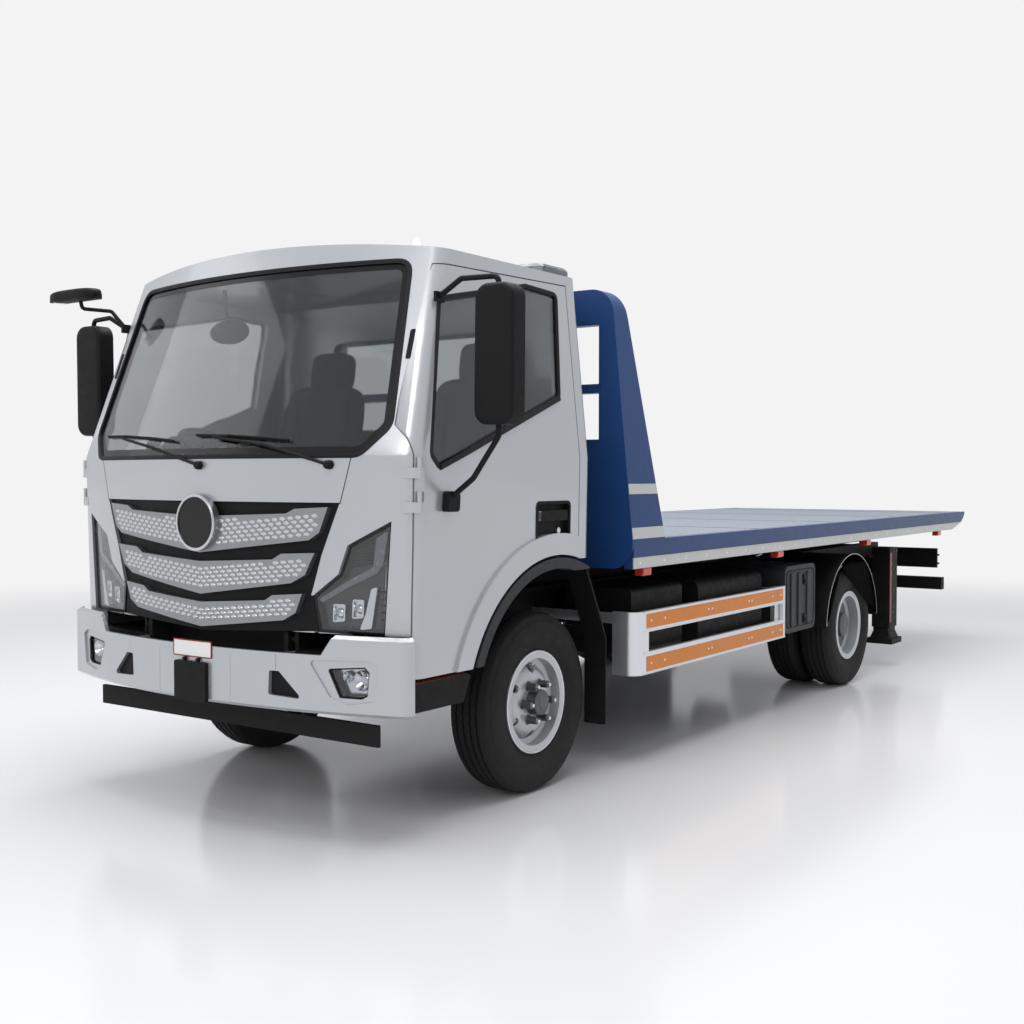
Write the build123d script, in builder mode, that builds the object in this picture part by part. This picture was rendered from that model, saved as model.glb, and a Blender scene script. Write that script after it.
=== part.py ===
import os

from build123d import *

os.makedirs("parts", exist_ok=True)

# Main sizes of the truck, millimetres, Y counted from the front axle
FRONT_AXLE_Y = -2527.0
WHEELBASE = 3570.0
BUMPER_FRONT = -1190.0
DECK_FRONT = 579.0
DECK_REAR = 6244.0
DECK_HALF = 1050.0
DECK_TOP = 1100.0
CAB_REAR = 304.0
HALF_TRACK = 800.0
REAR_OUTER_X = 930.0
REAR_INNER_X = 690.0

# Tyres and wheels
TYRE_R = 402.0
TYRE_HALF = 107.5
FLANGE_R = 229.0
BEAD_R = 203.0
RIM_HALF = 83.0
AXLE_Z = TYRE_R
STUB_R = 26.0
HUB_GAP = 0.5

# Cab sections: height, half width, front centre, set-back of the corners
CAB_LEVELS = ((628, 985, -1130, 165), (1490, 1000, -1150, 177), (2420, 905, -822, 160))
CAB_CORNER = 80.0
CAB_TOP = 2365.0
CAB_EAVE = 2285.0
CAB_SKIN = 40.0
CAB_FRONT_LOW = 800.0
SCREEN_LOW = 1480.0
GLASS = 6.0
GLASS_SET = 8.0
CAB_PIVOT_Y = -1040.0
CAB_PIVOT_Z = 760.0
ARCH_R = 600.0
LINER_R = 655.0
FLARE_R = 755.0
DOOR_FRONT = ((-965, 1160), (-969, 1602), (-777, 2165), (-733, 2246))
DOOR_REAR = 187.0
DOOR_LOW = 632.0
DOOR_TOP = 2266.0
SEAM = 5.0
PILLAR_X = 884.0
HINGE_X = 1005.0
HINGE_Y = -958.0

# Frame, tilt frame and deck
RAIL_X = 430.0
RAIL_W = 70.0
RAIL_Z = 640.0
RAIL_H = 200.0
RAIL_T = 9.0
TILT_Y = 5700.0
TILT_Z = 900.0
TILT_LOW = 850.0
TILT_H = 95.0
TILT_X = 330.0
PIN_R = 18.0
RUN_GAP = 5.0
LIFT_X = 200.0
LIFT_BASE = (3100.0, 700.0)
LIFT_EYE = (4200.0, 880.0)
LIFT_R = 42.0
SLIDE_Z = 912.0
SLIDE_R = 36.0
SLIDE_FRONT = 700.0
SLIDE_LEN = 2900.0

# Steering and stabiliser legs
KINGPIN_X = 590.0
ARM_LEN = 180.0
LEG_X = 935.0
LEG_Y = 4555.0
LEG_W = 130.0
LEG_D = 170.0
LEG_TOP = 876.0
LEG_LOW = 230.0


def fy(y):
    return FRONT_AXLE_Y + y


def box(x0, x1, y0, y1, z0, z1, mode=Mode.ADD):
    with BuildSketch(Plane.XY.offset(min(z0, z1))) as plan:
        with Locations(((x0 + x1) / 2, fy((y0 + y1) / 2))):
            Rectangle(abs(x1 - x0), abs(y1 - y0))
    extrude(plan.sketch, amount=abs(z1 - z0), mode=mode)


def pair(x0, x1, y0, y1, z0, z1, mode=Mode.ADD):
    box(x0, x1, y0, y1, z0, z1, mode)
    box(-x1, -x0, y0, y1, z0, z1, mode)


def side_outline(points, x0, x1, mode=Mode.ADD, radius=0.0):
    lo, hi = min(x0, x1), max(x0, x1)
    with BuildSketch(Plane.YZ.offset(lo)) as outline:
        with BuildLine():
            Polyline(*[(fy(y), z) for y, z in points], close=True)
        make_face()
        if radius:
            fillet(outline.vertices(), radius)
    extrude(outline.sketch, amount=hi - lo, mode=mode)


def front_outline(points, y0, y1, mode=Mode.ADD, radius=0.0):
    with BuildSketch(Plane.XZ.offset(-fy(y0))) as outline:
        with BuildLine():
            Polyline(*points, close=True)
        make_face()
        if radius:
            fillet(outline.vertices(), radius)
    extrude(outline.sketch, amount=-(y1 - y0), mode=mode)


def plan_outline(points, z0, z1, mode=Mode.ADD, radius=0.0):
    with BuildSketch(Plane.XY.offset(z0)) as outline:
        with BuildLine():
            Polyline(*[(x, fy(y)) for x, y in points], close=True)
        make_face()
        if radius:
            fillet(outline.vertices(), radius)
    extrude(outline.sketch, amount=z1 - z0, mode=mode)


def disc_x(y, z, r, x0, x1, mode=Mode.ADD, hole=0.0):
    lo, hi = min(x0, x1), max(x0, x1)
    with BuildSketch(Plane.YZ.offset(lo)) as ring:
        with Locations((fy(y), z)):
            Circle(r)
            if hole:
                Circle(hole, mode=Mode.SUBTRACT)
    extrude(ring.sketch, amount=hi - lo, mode=mode)


def disc_z(x, y, r, z0, z1, mode=Mode.ADD, hole=0.0):
    with BuildSketch(Plane.XY.offset(z0)) as ring:
        with Locations((x, fy(y))):
            Circle(r)
            if hole:
                Circle(hole, mode=Mode.SUBTRACT)
    extrude(ring.sketch, amount=z1 - z0, mode=mode)


def rod_between(start, end, r, hole=0.0, mode=Mode.ADD):
    a = Vector(start[0], fy(start[1]), start[2])
    b = Vector(end[0], fy(end[1]), end[2])
    with BuildSketch(Plane(origin=a, z_dir=b - a)) as section:
        Circle(r)
        if hole:
            Circle(hole, mode=Mode.SUBTRACT)
    extrude(section.sketch, amount=(b - a).length, mode=mode)


def spin_x(points, y, z, mode=Mode.ADD):
    origin = (0, fy(y), z)
    with BuildSketch(Plane(origin=origin, x_dir=(1, 0, 0), z_dir=(0, -1, 0))) as half:
        with BuildLine():
            Polyline(*points, close=True)
        make_face()
    revolve(half.sketch, axis=Axis(origin, (1, 0, 0)), mode=mode)


def bent_tube(points, radii, r, mode=Mode.ADD):
    with BuildLine() as path:
        FilletPolyline(*[(x, fy(y), z) for x, y, z in points], radius=radii)
    with BuildSketch(Plane(origin=path.line @ 0, z_dir=path.line % 0)) as section:
        Circle(r)
    sweep(section.sketch, path=path.line, mode=mode)


def dome(x, y, z, r, h):
    with BuildSketch(Plane(origin=(x, fy(y), z), x_dir=(1, 0, 0), z_dir=(0, -1, 0))) as half:
        with BuildLine():
            Polyline((0, h), (0, -20), (r + 6, -20), (r + 6, 0), (r, 4), (r - 3, h * 0.45), (r * 0.68, h * 0.8),
                     (r * 0.34, h * 0.96), close=True)
        make_face()
    revolve(half.sketch, axis=Axis((x, fy(y), z), (0, 0, 1)))


def save(piece, label):
    piece.label = label
    export_step(piece, f"parts/{label}.step")


# Cab outer form at a given inset
def cab_form(inset):
    with BuildPart() as block:
        for below, above in zip(CAB_LEVELS, CAB_LEVELS[1:]):
            for z, half, front, bow in (below, above):
                w = half - inset
                f = front + inset
                with BuildSketch(Plane.XY.offset(z)) as section:
                    with BuildLine():
                        Polyline((w, fy(f + bow)), (w, fy(CAB_REAR - inset)),
                                 (-w, fy(CAB_REAR - inset)), (-w, fy(f + bow)))
                        ThreePointArc((-w, fy(f + bow)), (0, fy(f)), (w, fy(f + bow)))
                    make_face()
                    fillet(section.vertices().group_by(Axis.Y)[0], CAB_CORNER - inset / 2)
                    fillet(section.vertices().group_by(Axis.Y)[-1], 70 - inset / 2)
            loft(ruled=True)
        top, back = CAB_TOP - inset, CAB_REAR - inset
        with BuildSketch(Plane.XZ) as crown:
            side = CAB_EAVE - inset
            with BuildLine():
                ThreePointArc((-1100, side), (0, top), (1100, side))
                Polyline((1100, side), (1100, 500), (-1100, 500), (-1100, side))
            make_face()
        extrude(crown.sketch, amount=6000, both=True, mode=Mode.INTERSECT)
        with BuildSketch(Plane.YZ) as profile:
            with BuildLine():
                Polyline((fy(back), 500), (fy(-1500), 500), (fy(-1500), top + 4), (fy(back - 130), top + 4),
                         (fy(back - 66), top - 12), (fy(back - 23), top - 46), (fy(back), top - 106), close=True)
            make_face()
        extrude(profile.sketch, amount=1500, both=True, mode=Mode.INTERSECT)
    return block.part


CAB_OUTER = cab_form(0)
CAB_INNER = cab_form(CAB_SKIN)
GLASS_OUTER = cab_form(GLASS_SET)
GLASS_INNER = cab_form(GLASS_SET + GLASS)
FLARE_OUTER = cab_form(-14)

DOOR_WINDOW = ((-879, 1490), (-829, 1442), (55, 1757), (100, 2213), (-140, 2224), (-747, 2102))
SCREEN = ((-780, 1488), (780, 1488), (878, 1600), (800, 2262), (-800, 2262), (-878, 1600))
REAR_WINDOW = ((-600, 1620), (600, 1620), (570, 2100), (-570, 2100))
LAMP = ((590, 803), (872, 797), (904, 1238), (725, 1143), (684, 1031), (566, 940))
LAMP_GAP = ((578, 780), (598, 780), (575, 944), (556, 948))
GRILLE_HALF = ((586, 806), (562, 940), (571, 965), (614, 1103), (696, 1306))
GRILLE = ((0, 775), *GRILLE_HALF, *((-x, z) for x, z in reversed(GRILLE_HALF)))
FOG = ((671, 672), (828, 685), (846, 665), (838, 575), (815, 562), (722, 562))
VENT = ((412, 650), (458, 650), (567, 547), (407, 555))
FOG_RECESS = ((592, 702), (850, 712), (888, 690), (866, 556), (760, 538), (690, 560))



def mirrored(points):
    return [(-x, z) for x, z in points]


# Everything that a door covers, grown or shrunk by a gap all round
def door_region(side, gap):
    with BuildPart() as region:
        front = [(y + gap, z) for y, z in DOOR_FRONT[:-1]]
        front.append((DOOR_FRONT[-1][0] + gap, DOOR_FRONT[-1][1] - gap))
        rear = DOOR_REAR - gap
        side_outline([(front[0][0], DOOR_LOW + gap)] + front
                     + [(rear, DOOR_TOP - gap), (rear, DOOR_LOW + gap)],
                     side * PILLAR_X, side * 1300)
        disc_x(0, AXLE_Z, LINER_R + gap, -1400, 1400, mode=Mode.SUBTRACT)
        box(-1400, 1400, 0, 400, 500, 1035, mode=Mode.SUBTRACT)
    return region.part


# Chassis frame: two channel rails, cross members, cab pivots and tilt pivots
with BuildPart() as chassis_frame:
    for s in (1, -1):
        inner, outer, web = s * (RAIL_X - RAIL_W), s * RAIL_X, s * (RAIL_X - RAIL_T)
        top = RAIL_Z + RAIL_H
        front_outline([(inner, RAIL_Z), (outer, RAIL_Z), (outer, top), (inner, top), (inner, top - RAIL_T),
                       (web, top - RAIL_T), (web, RAIL_Z + RAIL_T), (inner, RAIL_Z + RAIL_T)], -1000, 5900)
        box(s * 350, s * 368, TILT_Y - 44, TILT_Y + 44, RAIL_Z + RAIL_H - 30, TILT_Z)
        disc_x(TILT_Y, TILT_Z, 44, s * 350, s * 368)
        disc_x(TILT_Y, TILT_Z, PIN_R + 0.5, s * 300, s * 420, mode=Mode.SUBTRACT)
        side_outline([(CAB_PIVOT_Y + 30, 640), (CAB_PIVOT_Y + 190, 640), (CAB_PIVOT_Y + 190, 720),
                      (CAB_PIVOT_Y + 35, 790), (CAB_PIVOT_Y - 28, 790), (CAB_PIVOT_Y - 28, 720)],
                     s * 400, s * 424)
        disc_x(CAB_PIVOT_Y, CAB_PIVOT_Z, 15.5, s * 380, s * 440, mode=Mode.SUBTRACT)
    for y in (-960, 560, 1500, 2300, 2960, 4900, 5780):
        box(-RAIL_X + 4, RAIL_X - 4, y, y + 60, RAIL_Z + 20, RAIL_Z + RAIL_H - 20)
    for s in (1, -1):
        x = s * LIFT_X
        for dx in (-38, 26):
            side_outline([(LIFT_BASE[0] - 90, LIFT_BASE[1] - 35), (LIFT_BASE[0] + 28, LIFT_BASE[1] - 30),
                          (LIFT_BASE[0] + 28, LIFT_BASE[1] + 30), (LIFT_BASE[0] - 90, LIFT_BASE[1] + 60)],
                         x + dx, x + dx + 12)
        disc_x(*LIFT_BASE, 14, x - 38, x + 38)
save(chassis_frame.part, "chassis_frame")

# Front bumper: a bowed shell with rounded ends, a low centre, lamp and air openings
BUMPER_BOW = 180.0
BUMPER_HALF = 1003.0
BUMPER_LOW = 495.0
BUMPER_TOP = 801.0
BUMPER_WALL = 16.0


def bumper_plan(inset, z, rear=-985.0):
    w, f, c = BUMPER_HALF - inset, BUMPER_FRONT + inset, BUMPER_FRONT + inset + BUMPER_BOW
    end = max(c + 25, -985.0)
    with BuildSketch(Plane.XY.offset(z)) as plan:
        with BuildLine():
            ThreePointArc((-w, fy(end)), (-w + 9, fy(c - 6)), (-w + 42, fy(c - 26)))
            ThreePointArc((-w + 42, fy(c - 26)), (0, fy(f)), (w - 42, fy(c - 26)))
            ThreePointArc((w - 42, fy(c - 26)), (w - 9, fy(c - 6)), (w, fy(end)))
            if rear > end:
                Polyline((w, fy(end)), (w, fy(rear)), (-w, fy(rear)), (-w, fy(end)))
            else:
                Line((w, fy(end)), (-w, fy(end)))
        make_face()
    return plan.sketch


with BuildPart() as bumper_skin:
    levels = ((BUMPER_LOW, 13), (BUMPER_LOW + 13, 0), (BUMPER_TOP - 13, 0), (BUMPER_TOP, 13))
    for (z0, inset0), (z1, inset1) in zip(levels, levels[1:]):
        loft([bumper_plan(inset0, z0, -900), bumper_plan(inset1, z1, -900)], ruled=True)
    box(-1100, 1100, -985, -800, 400, 900, mode=Mode.SUBTRACT)
    extrude(bumper_plan(BUMPER_WALL, BUMPER_LOW - 10, -900), amount=340, mode=Mode.SUBTRACT)
    front_outline([(-648, 722), (648, 722), (728, 840), (-728, 840)], -1300, -900, mode=Mode.SUBTRACT)

with BuildPart() as recess:
    for s in (1, -1):
        front_outline([(s * x, z) for x, z in FOG_RECESS], -1300, -900, radius=14)
    extrude(bumper_plan(7, BUMPER_LOW - 10, -900), amount=340, mode=Mode.SUBTRACT)

with BuildPart() as front_bumper:
    add(bumper_skin.part)
    add(recess.part, mode=Mode.SUBTRACT)
    for s in (1, -1):
        for opening in (FOG, VENT):
            front_outline([(s * x, z) for x, z in opening], -1300, -900, mode=Mode.SUBTRACT, radius=9)
        box(s * RAIL_X, s * (RAIL_X + 15), -1160, -880, 655, 715)
save(front_bumper.part, "front_bumper")

# Board under the bumper, the plate holder and the dark plates behind the air openings
with BuildPart() as vent_backs:
    for s in (1, -1):
        front_outline([(s * 396, 540), (s * 590, 532), (s * 466, 653), (s * 400, 653)], -1300, -900)
    extrude(bumper_plan(BUMPER_WALL, 400, -900), amount=400, mode=Mode.INTERSECT)
    extrude(bumper_plan(BUMPER_WALL + 5, 400, -900), amount=400, mode=Mode.SUBTRACT)

with BuildPart() as bumper_lip:
    add(vent_backs.part)
    box(-832, 832, -1003, -985, 368, 452)
    for s in (1, -1):
        box(s * RAIL_X, s * (RAIL_X + 15), -1003, -950, 430, 655)
    front_outline([(-94, 492), (94, 492), (94, 655), (-94, 655)], -1207, BUMPER_FRONT, radius=12)
save(bumper_lip.part, "bumper_lip")

with BuildPart() as fog_lamps:
    for s in (1, -1):
        front_outline([(s * x, z) for x, z in FOG], -1162, -1030, radius=9)
    extrude(bumper_plan(10, 400), amount=400, mode=Mode.INTERSECT)
save(fog_lamps.part, "fog_lamps")

# Engine as one plain block
with BuildPart() as engine_block:
    box(-290, 290, -520, 500, 520, 1025)
    chamfer(engine_block.edges().filter_by(Axis.Y), 40)
    pair(285, RAIL_X - RAIL_T, -100, 60, 660, 760)
save(engine_block.part, "engine_block")

# Axle beams, the rear one with its differential and shaft
with BuildPart() as axle_beams:
    box(-KINGPIN_X + 20, KINGPIN_X - 20, -32, 32, AXLE_Z - 42, AXLE_Z + 35)
    for s in (1, -1):
        disc_z(s * KINGPIN_X, 0, 36, AXLE_Z - 45, AXLE_Z + 45)
        disc_z(s * KINGPIN_X, 0, 14.5, AXLE_Z - 50, AXLE_Z + 50, mode=Mode.SUBTRACT)
    rod_between((-960, WHEELBASE, AXLE_Z), (960, WHEELBASE, AXLE_Z), 45)
    disc_x(WHEELBASE, AXLE_Z, 170, -90, 90)
    rod_between((0, 1400, 600), (0, WHEELBASE - 160, AXLE_Z + 20), 42)
    box(-60, 60, 500, 1420, 545, 655)
save(axle_beams.part, "axle_beams")

# Leaf springs: stacked arched leaves and the hangers under the rails
LEAF = 15.0


def leaf(y, z, length, x0, x1):
    rise = 96.0 * (length / 560.0) ** 2
    with BuildSketch(Plane.YZ.offset(min(x0, x1))) as strip:
        with BuildLine():
            ThreePointArc((fy(y - length), z + rise), (fy(y), z), (fy(y + length), z + rise))
            Line((fy(y + length), z + rise), (fy(y + length), z + rise + LEAF))
            ThreePointArc((fy(y + length), z + rise + LEAF), (fy(y), z + LEAF), (fy(y - length), z + rise + LEAF))
            Line((fy(y - length), z + rise + LEAF), (fy(y - length), z + rise))
        make_face()
    extrude(strip.sketch, amount=abs(x1 - x0))


with BuildPart() as leaf_springs:
    for s in (1, -1):
        for y, span, low, half in ((0, 560, AXLE_Z + 35, 34), (WHEELBASE, 640, AXLE_Z + 45, 47)):
            x0, x1 = s * 365, s * 425
            for i, share in enumerate((0.34, 0.56, 0.78, 1.0)):
                leaf(y, low + i * (LEAF - 1), span * share, x0, x1)
            rise = low + 3 * (LEAF - 1) + 96.0 * (span / 560.0) ** 2
            for end in (-1, 1):
                side_outline([(y + end * (span - 40), RAIL_Z), (y + end * (span + 30), RAIL_Z),
                              (y + end * (span + 12), rise - 6), (y + end * (span - 14), rise - 6)], x0, x1)
            box(x0 - s * 8, x1 + s * 8, y - 70, y + 70, low + 46, low + 72)
            for dy in (-half - 18, half):
                for x in (x0 - s * 7, x1 - s * 5):
                    box(x, x + s * 12, y + dy, y + dy + 18, low - 60, low + 70)
save(leaf_springs.part, "leaf_springs")


# Steering knuckle with its king-pin, stub axle and arm
def knuckle(s):
    k = s * KINGPIN_X
    with BuildPart() as piece:
        disc_z(k, 0, 14, AXLE_Z - 75, AXLE_Z + 75)
        for z in (AXLE_Z - 75, AXLE_Z + 50):
            disc_z(k, 0, 34, z, z + 25)
            box(k, k + s * 62, -34, 34, z, z + 25)
        box(k + s * 44, k + s * 70, -40, 40, AXLE_Z - 75, AXLE_Z + 75)
        rod_between((k + s * 60, 0, AXLE_Z), (s * (HALF_TRACK + 35), 0, AXLE_Z), STUB_R)
        plan_outline([(k - 22, 0), (k + 22, 0), (k + 16, ARM_LEN + 16), (k - 16, ARM_LEN + 16)],
                     AXLE_Z - 75, AXLE_Z - 55)
        disc_z(k, ARM_LEN, 10, AXLE_Z - 110, AXLE_Z - 75)
    return piece.part


save(knuckle(1), "knuckle_left")
save(knuckle(-1), "knuckle_right")

with BuildPart() as tie_rod:
    for s in (1, -1):
        disc_z(s * KINGPIN_X, ARM_LEN, 24, AXLE_Z - 105, AXLE_Z - 81)
    rod_between((-KINGPIN_X + 18, ARM_LEN, AXLE_Z - 93), (KINGPIN_X - 18, ARM_LEN, AXLE_Z - 93), 10)
    for s in (1, -1):
        disc_z(s * KINGPIN_X, ARM_LEN, 10.8, AXLE_Z - 120, AXLE_Z - 70, mode=Mode.SUBTRACT)
save(tie_rod.part, "tie_rod")


# Tyre section: beads, side walls, shoulders and tread band
def tyre(x, y):
    half = [(RIM_HALF - 6, BEAD_R + 0.8), (RIM_HALF + 1, FLANGE_R + 8), (TYRE_HALF, 300), (TYRE_HALF - 5, 350),
            (TYRE_HALF - 22, 385), (TYRE_HALF - 40, 398)]
    outer = [(x + a, r) for a, r in half] + [(x, TYRE_R)] + [(x - a, r) for a, r in reversed(half)]
    inner = [(x - 55, BEAD_R + 0.8), (x - 78, 250), (x - 92, 305), (x - 72, 370), (x + 72, 370),
             (x + 92, 305), (x + 78, 250), (x + 55, BEAD_R + 0.8)]
    spin_x(outer + inner, y, AXLE_Z)


# Rim with drop centre; the domed disc stands out by the given offset, with hand holes
def rim(x, y, s, offset, bore):
    def p(a, r):
        return (x + s * a, r)

    w = RIM_HALF
    spin_x([p(-w - 8, FLANGE_R), p(-w, FLANGE_R), p(-w + 2, BEAD_R), p(-20, BEAD_R), p(-10, 180), p(25, 180),
            p(35, BEAD_R), p(w - 2, BEAD_R), p(w, FLANGE_R), p(w + 8, FLANGE_R), p(w + 8, FLANGE_R - 8),
            p(w + 5, BEAD_R - 9), p(38, BEAD_R - 9), p(28, 170), p(-13, 170), p(-23, BEAD_R - 9),
            p(-w - 5, BEAD_R - 9), p(-w - 8, FLANGE_R - 8)], y, AXLE_Z)
    spin_x([p(6, 172), p(22, 172), p(offset - 12, 156), p(offset + 6, 134), p(offset + 12, 112), p(offset + 12, bore),
            p(offset, bore), p(offset, 108), p(offset - 5, 126), p(offset - 22, 146)], y, AXLE_Z)
    origin = Plane(origin=(x + s * 80, fy(y), AXLE_Z), x_dir=(0, 1, 0), z_dir=(-s, 0, 0))
    with BuildSketch(origin) as holes:
        with PolarLocations(147, 6, start_angle=30):
            Circle(19)
    extrude(holes.sketch, amount=150, mode=Mode.SUBTRACT)


def nuts(x, y, s, length=28):
    with BuildSketch(Plane(origin=(x, fy(y), AXLE_Z), x_dir=(0, 1, 0), z_dir=(s, 0, 0))) as ring:
        with PolarLocations(87, 6):
            RegularPolygon(16, 6)
    extrude(ring.sketch, amount=length)


for s, word in ((1, "left"), (-1, "right")):
    with BuildPart() as front_tyre:
        tyre(s * HALF_TRACK, 0)
    save(front_tyre.part, f"front_tyre_{word}")

    with BuildPart() as front_wheel:
        x = s * HALF_TRACK
        rim(x, 0, s, 62, 58)
        spin_x([(x - s * 60, STUB_R + HUB_GAP), (x - s * 60, 70), (x + s * 30, 80), (x + s * 62, 110),
                (x + s * 62, 60), (x + s * 118, 56), (x + s * 124, 48), (x + s * 124, 0),
                (x + s * 40, 0), (x + s * 40, STUB_R + HUB_GAP)], 0, AXLE_Z)
        nuts(x + s * 72, 0, s, 46)
    save(front_wheel.part, f"front_wheel_{word}")

    with BuildPart() as rear_tyres:
        tyre(s * REAR_OUTER_X, WHEELBASE)
        tyre(s * REAR_INNER_X, WHEELBASE)
    save(rear_tyres.part, f"rear_tyres_{word}")

    with BuildPart() as rear_wheels:
        xo, xi = s * REAR_OUTER_X, s * REAR_INNER_X
        rim(xi, WHEELBASE, s, 106, 58)
        mid = (REAR_OUTER_X + REAR_INNER_X) / 2
        rim(xo, WHEELBASE, -s, 106, 58)
        spin_x([(xi - s * 40, 45.5), (xi - s * 40, 100), (s * (mid - 14), 118), (s * (mid + 20), 118),
                (xo - s * 60, 100), (xo + s * 20, 82), (xo + s * 58, 78), (xo + s * 66, 66), (xo + s * 66, 0),
                (xo + s * 40, 0), (xo + s * 40, 45.5)], WHEELBASE, AXLE_Z)
        nuts(s * (mid + 18), WHEELBASE, s)
    save(rear_wheels.part, f"rear_wheels_{word}")

# Cab shell, split where the real panels meet
with BuildPart() as shell:
    add(CAB_OUTER)
    add(CAB_INNER, mode=Mode.SUBTRACT)
    add(door_region(1, 0), mode=Mode.SUBTRACT)
    add(door_region(-1, 0), mode=Mode.SUBTRACT)
    front_outline(SCREEN, -1400, -400, mode=Mode.SUBTRACT, radius=70)
    front_outline(REAR_WINDOW, 200, 500, mode=Mode.SUBTRACT, radius=60)
    disc_x(0, AXLE_Z, LINER_R, -1400, 1400, mode=Mode.SUBTRACT)
    box(-1400, 1400, -2000, -960, 500, CAB_FRONT_LOW, mode=Mode.SUBTRACT)
    box(-1400, 1400, -2000, 400, 500, 645, mode=Mode.SUBTRACT)
    box(-1400, 1400, -700, 400, 500, 1035, mode=Mode.SUBTRACT)

# Seams of the front flap above the grille, cut to a shallow depth
with BuildPart() as flap_seams:
    for s in (1, -1):
        front_outline([(s * 694, 1300), (s * 699, 1300), (s * 752, 1490), (s * 747, 1490)], -1400, -900)
    add(cab_form(9), mode=Mode.SUBTRACT)

with BuildPart() as cab_front:
    add(shell.part)
    box(-1400, 1400, -2000, -900, 500, SCREEN_LOW, mode=Mode.INTERSECT)
    front_outline(GRILLE, -1400, -900, mode=Mode.SUBTRACT)
    front_outline(LAMP, -1400, -972, mode=Mode.SUBTRACT)
    front_outline(mirrored(LAMP), -1400, -972, mode=Mode.SUBTRACT)
    front_outline(LAMP_GAP, -1400, -900, mode=Mode.SUBTRACT)
    front_outline(mirrored(LAMP_GAP), -1400, -900, mode=Mode.SUBTRACT)
    add(flap_seams.part, mode=Mode.SUBTRACT)
    for s in (1, -1):
        for z in (1270, 1400):
            disc_z(s * HINGE_X, HINGE_Y, 9, z, z + 40)
            plan_outline([(s * (HINGE_X - 3), HINGE_Y - 9), (s * (HINGE_X + 3), HINGE_Y - 4), (s * 985, -966),
                          (s * 940, -972), (s * 940, -992), (s * 965, -990)], z, z + 40)
save(cab_front.part, "cab_front")

with BuildPart() as cab_rear:
    add(shell.part)
    box(-1400, 1400, DOOR_REAR - 60, 400, 500, DOOR_TOP, mode=Mode.INTERSECT)
save(cab_rear.part, "cab_rear")

with BuildPart() as cab_roof:
    add(shell.part)
    box(-1400, 1400, -2000, -900, 500, SCREEN_LOW, mode=Mode.SUBTRACT)
    box(-1400, 1400, DOOR_REAR - 60, 400, 500, DOOR_TOP, mode=Mode.SUBTRACT)
    for s in (1, -1):
        dome(s * 541, -405, 2352, 36, 46)
save(cab_roof.part, "cab_roof")

with BuildPart() as panes:
    front_outline(SCREEN, -1400, -400, radius=70)
    front_outline(REAR_WINDOW, 200, 500, radius=60)

with BuildPart() as cab_glass:
    add(GLASS_OUTER)
    add(GLASS_INNER, mode=Mode.SUBTRACT)
    add(panes.part, mode=Mode.INTERSECT)
save(cab_glass.part, "cab_glass")

# Headlights, their faces set back so that they clear the bumper when the cab tilts
LAMP_SET = 10.0
with BuildPart() as lamp_solid:
    front_outline(LAMP, -1400, -972)
    front_outline(mirrored(LAMP), -1400, -972)

with BuildPart() as headlights:
    add(cab_form(LAMP_SET))
    add(cab_form(CAB_SKIN - 4), mode=Mode.SUBTRACT)
    add(lamp_solid.part, mode=Mode.INTERSECT)
save(headlights.part, "headlights")

# Grille: black back panel and three chevron bars, each a half outline in (x, z) mirrored
BARS = (((0, 1244), (463, 1262), (503, 1281), (652, 1289), (612, 1190), (565, 1160), (0, 1096)),
        ((0, 1060), (392, 1080), (435, 1104), (590, 1111), (545, 1024), (479, 990), (0, 926)),
        ((0, 893), (351, 917), (388, 939), (530, 950), (499, 875), (440, 843), (0, 792)))
BADGE_Z = 1219.0
BADGE_R = 116.0
with BuildPart() as grille_opening:
    front_outline(GRILLE, -1400, -900)

with BuildPart() as grille:
    add(cab_form(14))
    add(cab_form(30), mode=Mode.SUBTRACT)
    add(grille_opening.part, mode=Mode.INTERSECT)
save(grille.part, "grille")

with BuildPart() as badge:
    for r, front in ((BADGE_R, -1172.0), (BADGE_R - 12, -1168.0)):
        with BuildSketch(Plane.XZ.offset(-fy(front))) as disc:
            with Locations((0, BADGE_Z)):
                Circle(r)
        extrude(disc.sketch, amount=-40 if r == BADGE_R else 4, mode=Mode.ADD if r == BADGE_R else Mode.SUBTRACT)
    add(CAB_OUTER, mode=Mode.SUBTRACT)

with BuildPart() as grille_bars:
    for half in BARS:
        front_outline([*half, *((-x, z) for x, z in reversed(half[1:-1]))], -1400, -1000)
    add(cab_form(-9), mode=Mode.INTERSECT)
    add(cab_form(14), mode=Mode.SUBTRACT)
    add(badge.part)
save(grille_bars.part, "grille_bars")

# Floor, wheel arches and interior
with BuildPart() as cab_floor:
    for s in (1, -1):
        side_outline([(-1085, 900), (-1085, 700), (-640, 700), (-560, 1055), (0, 1055), (0, 1075),
                      (-575, 1075), (-655, 720), (-1065, 720), (-1065, 900)], s * 450, s * 868)
        side_outline([(-1085, 700), (-640, 700), (-560, 1060), (-1085, 1060)], s * 450, s * 466)
        disc_x(CAB_PIVOT_Y, CAB_PIVOT_Z, 15, s * 400, s * 450)
    box(-466, 466, -1200, 300, 1055, 1075)
    box(-925, 925, -20, 300, 1055, 1075)
    add(cab_form(CAB_SKIN), mode=Mode.INTERSECT)
    for s in (1, -1):
        disc_x(CAB_PIVOT_Y, CAB_PIVOT_Z, 15, s * 400, s * 455)
        disc_x(0, AXLE_Z, LINER_R - 2, s * 560, s * 1000, mode=Mode.SUBTRACT)
save(cab_floor.part, "cab_floor")

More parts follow.
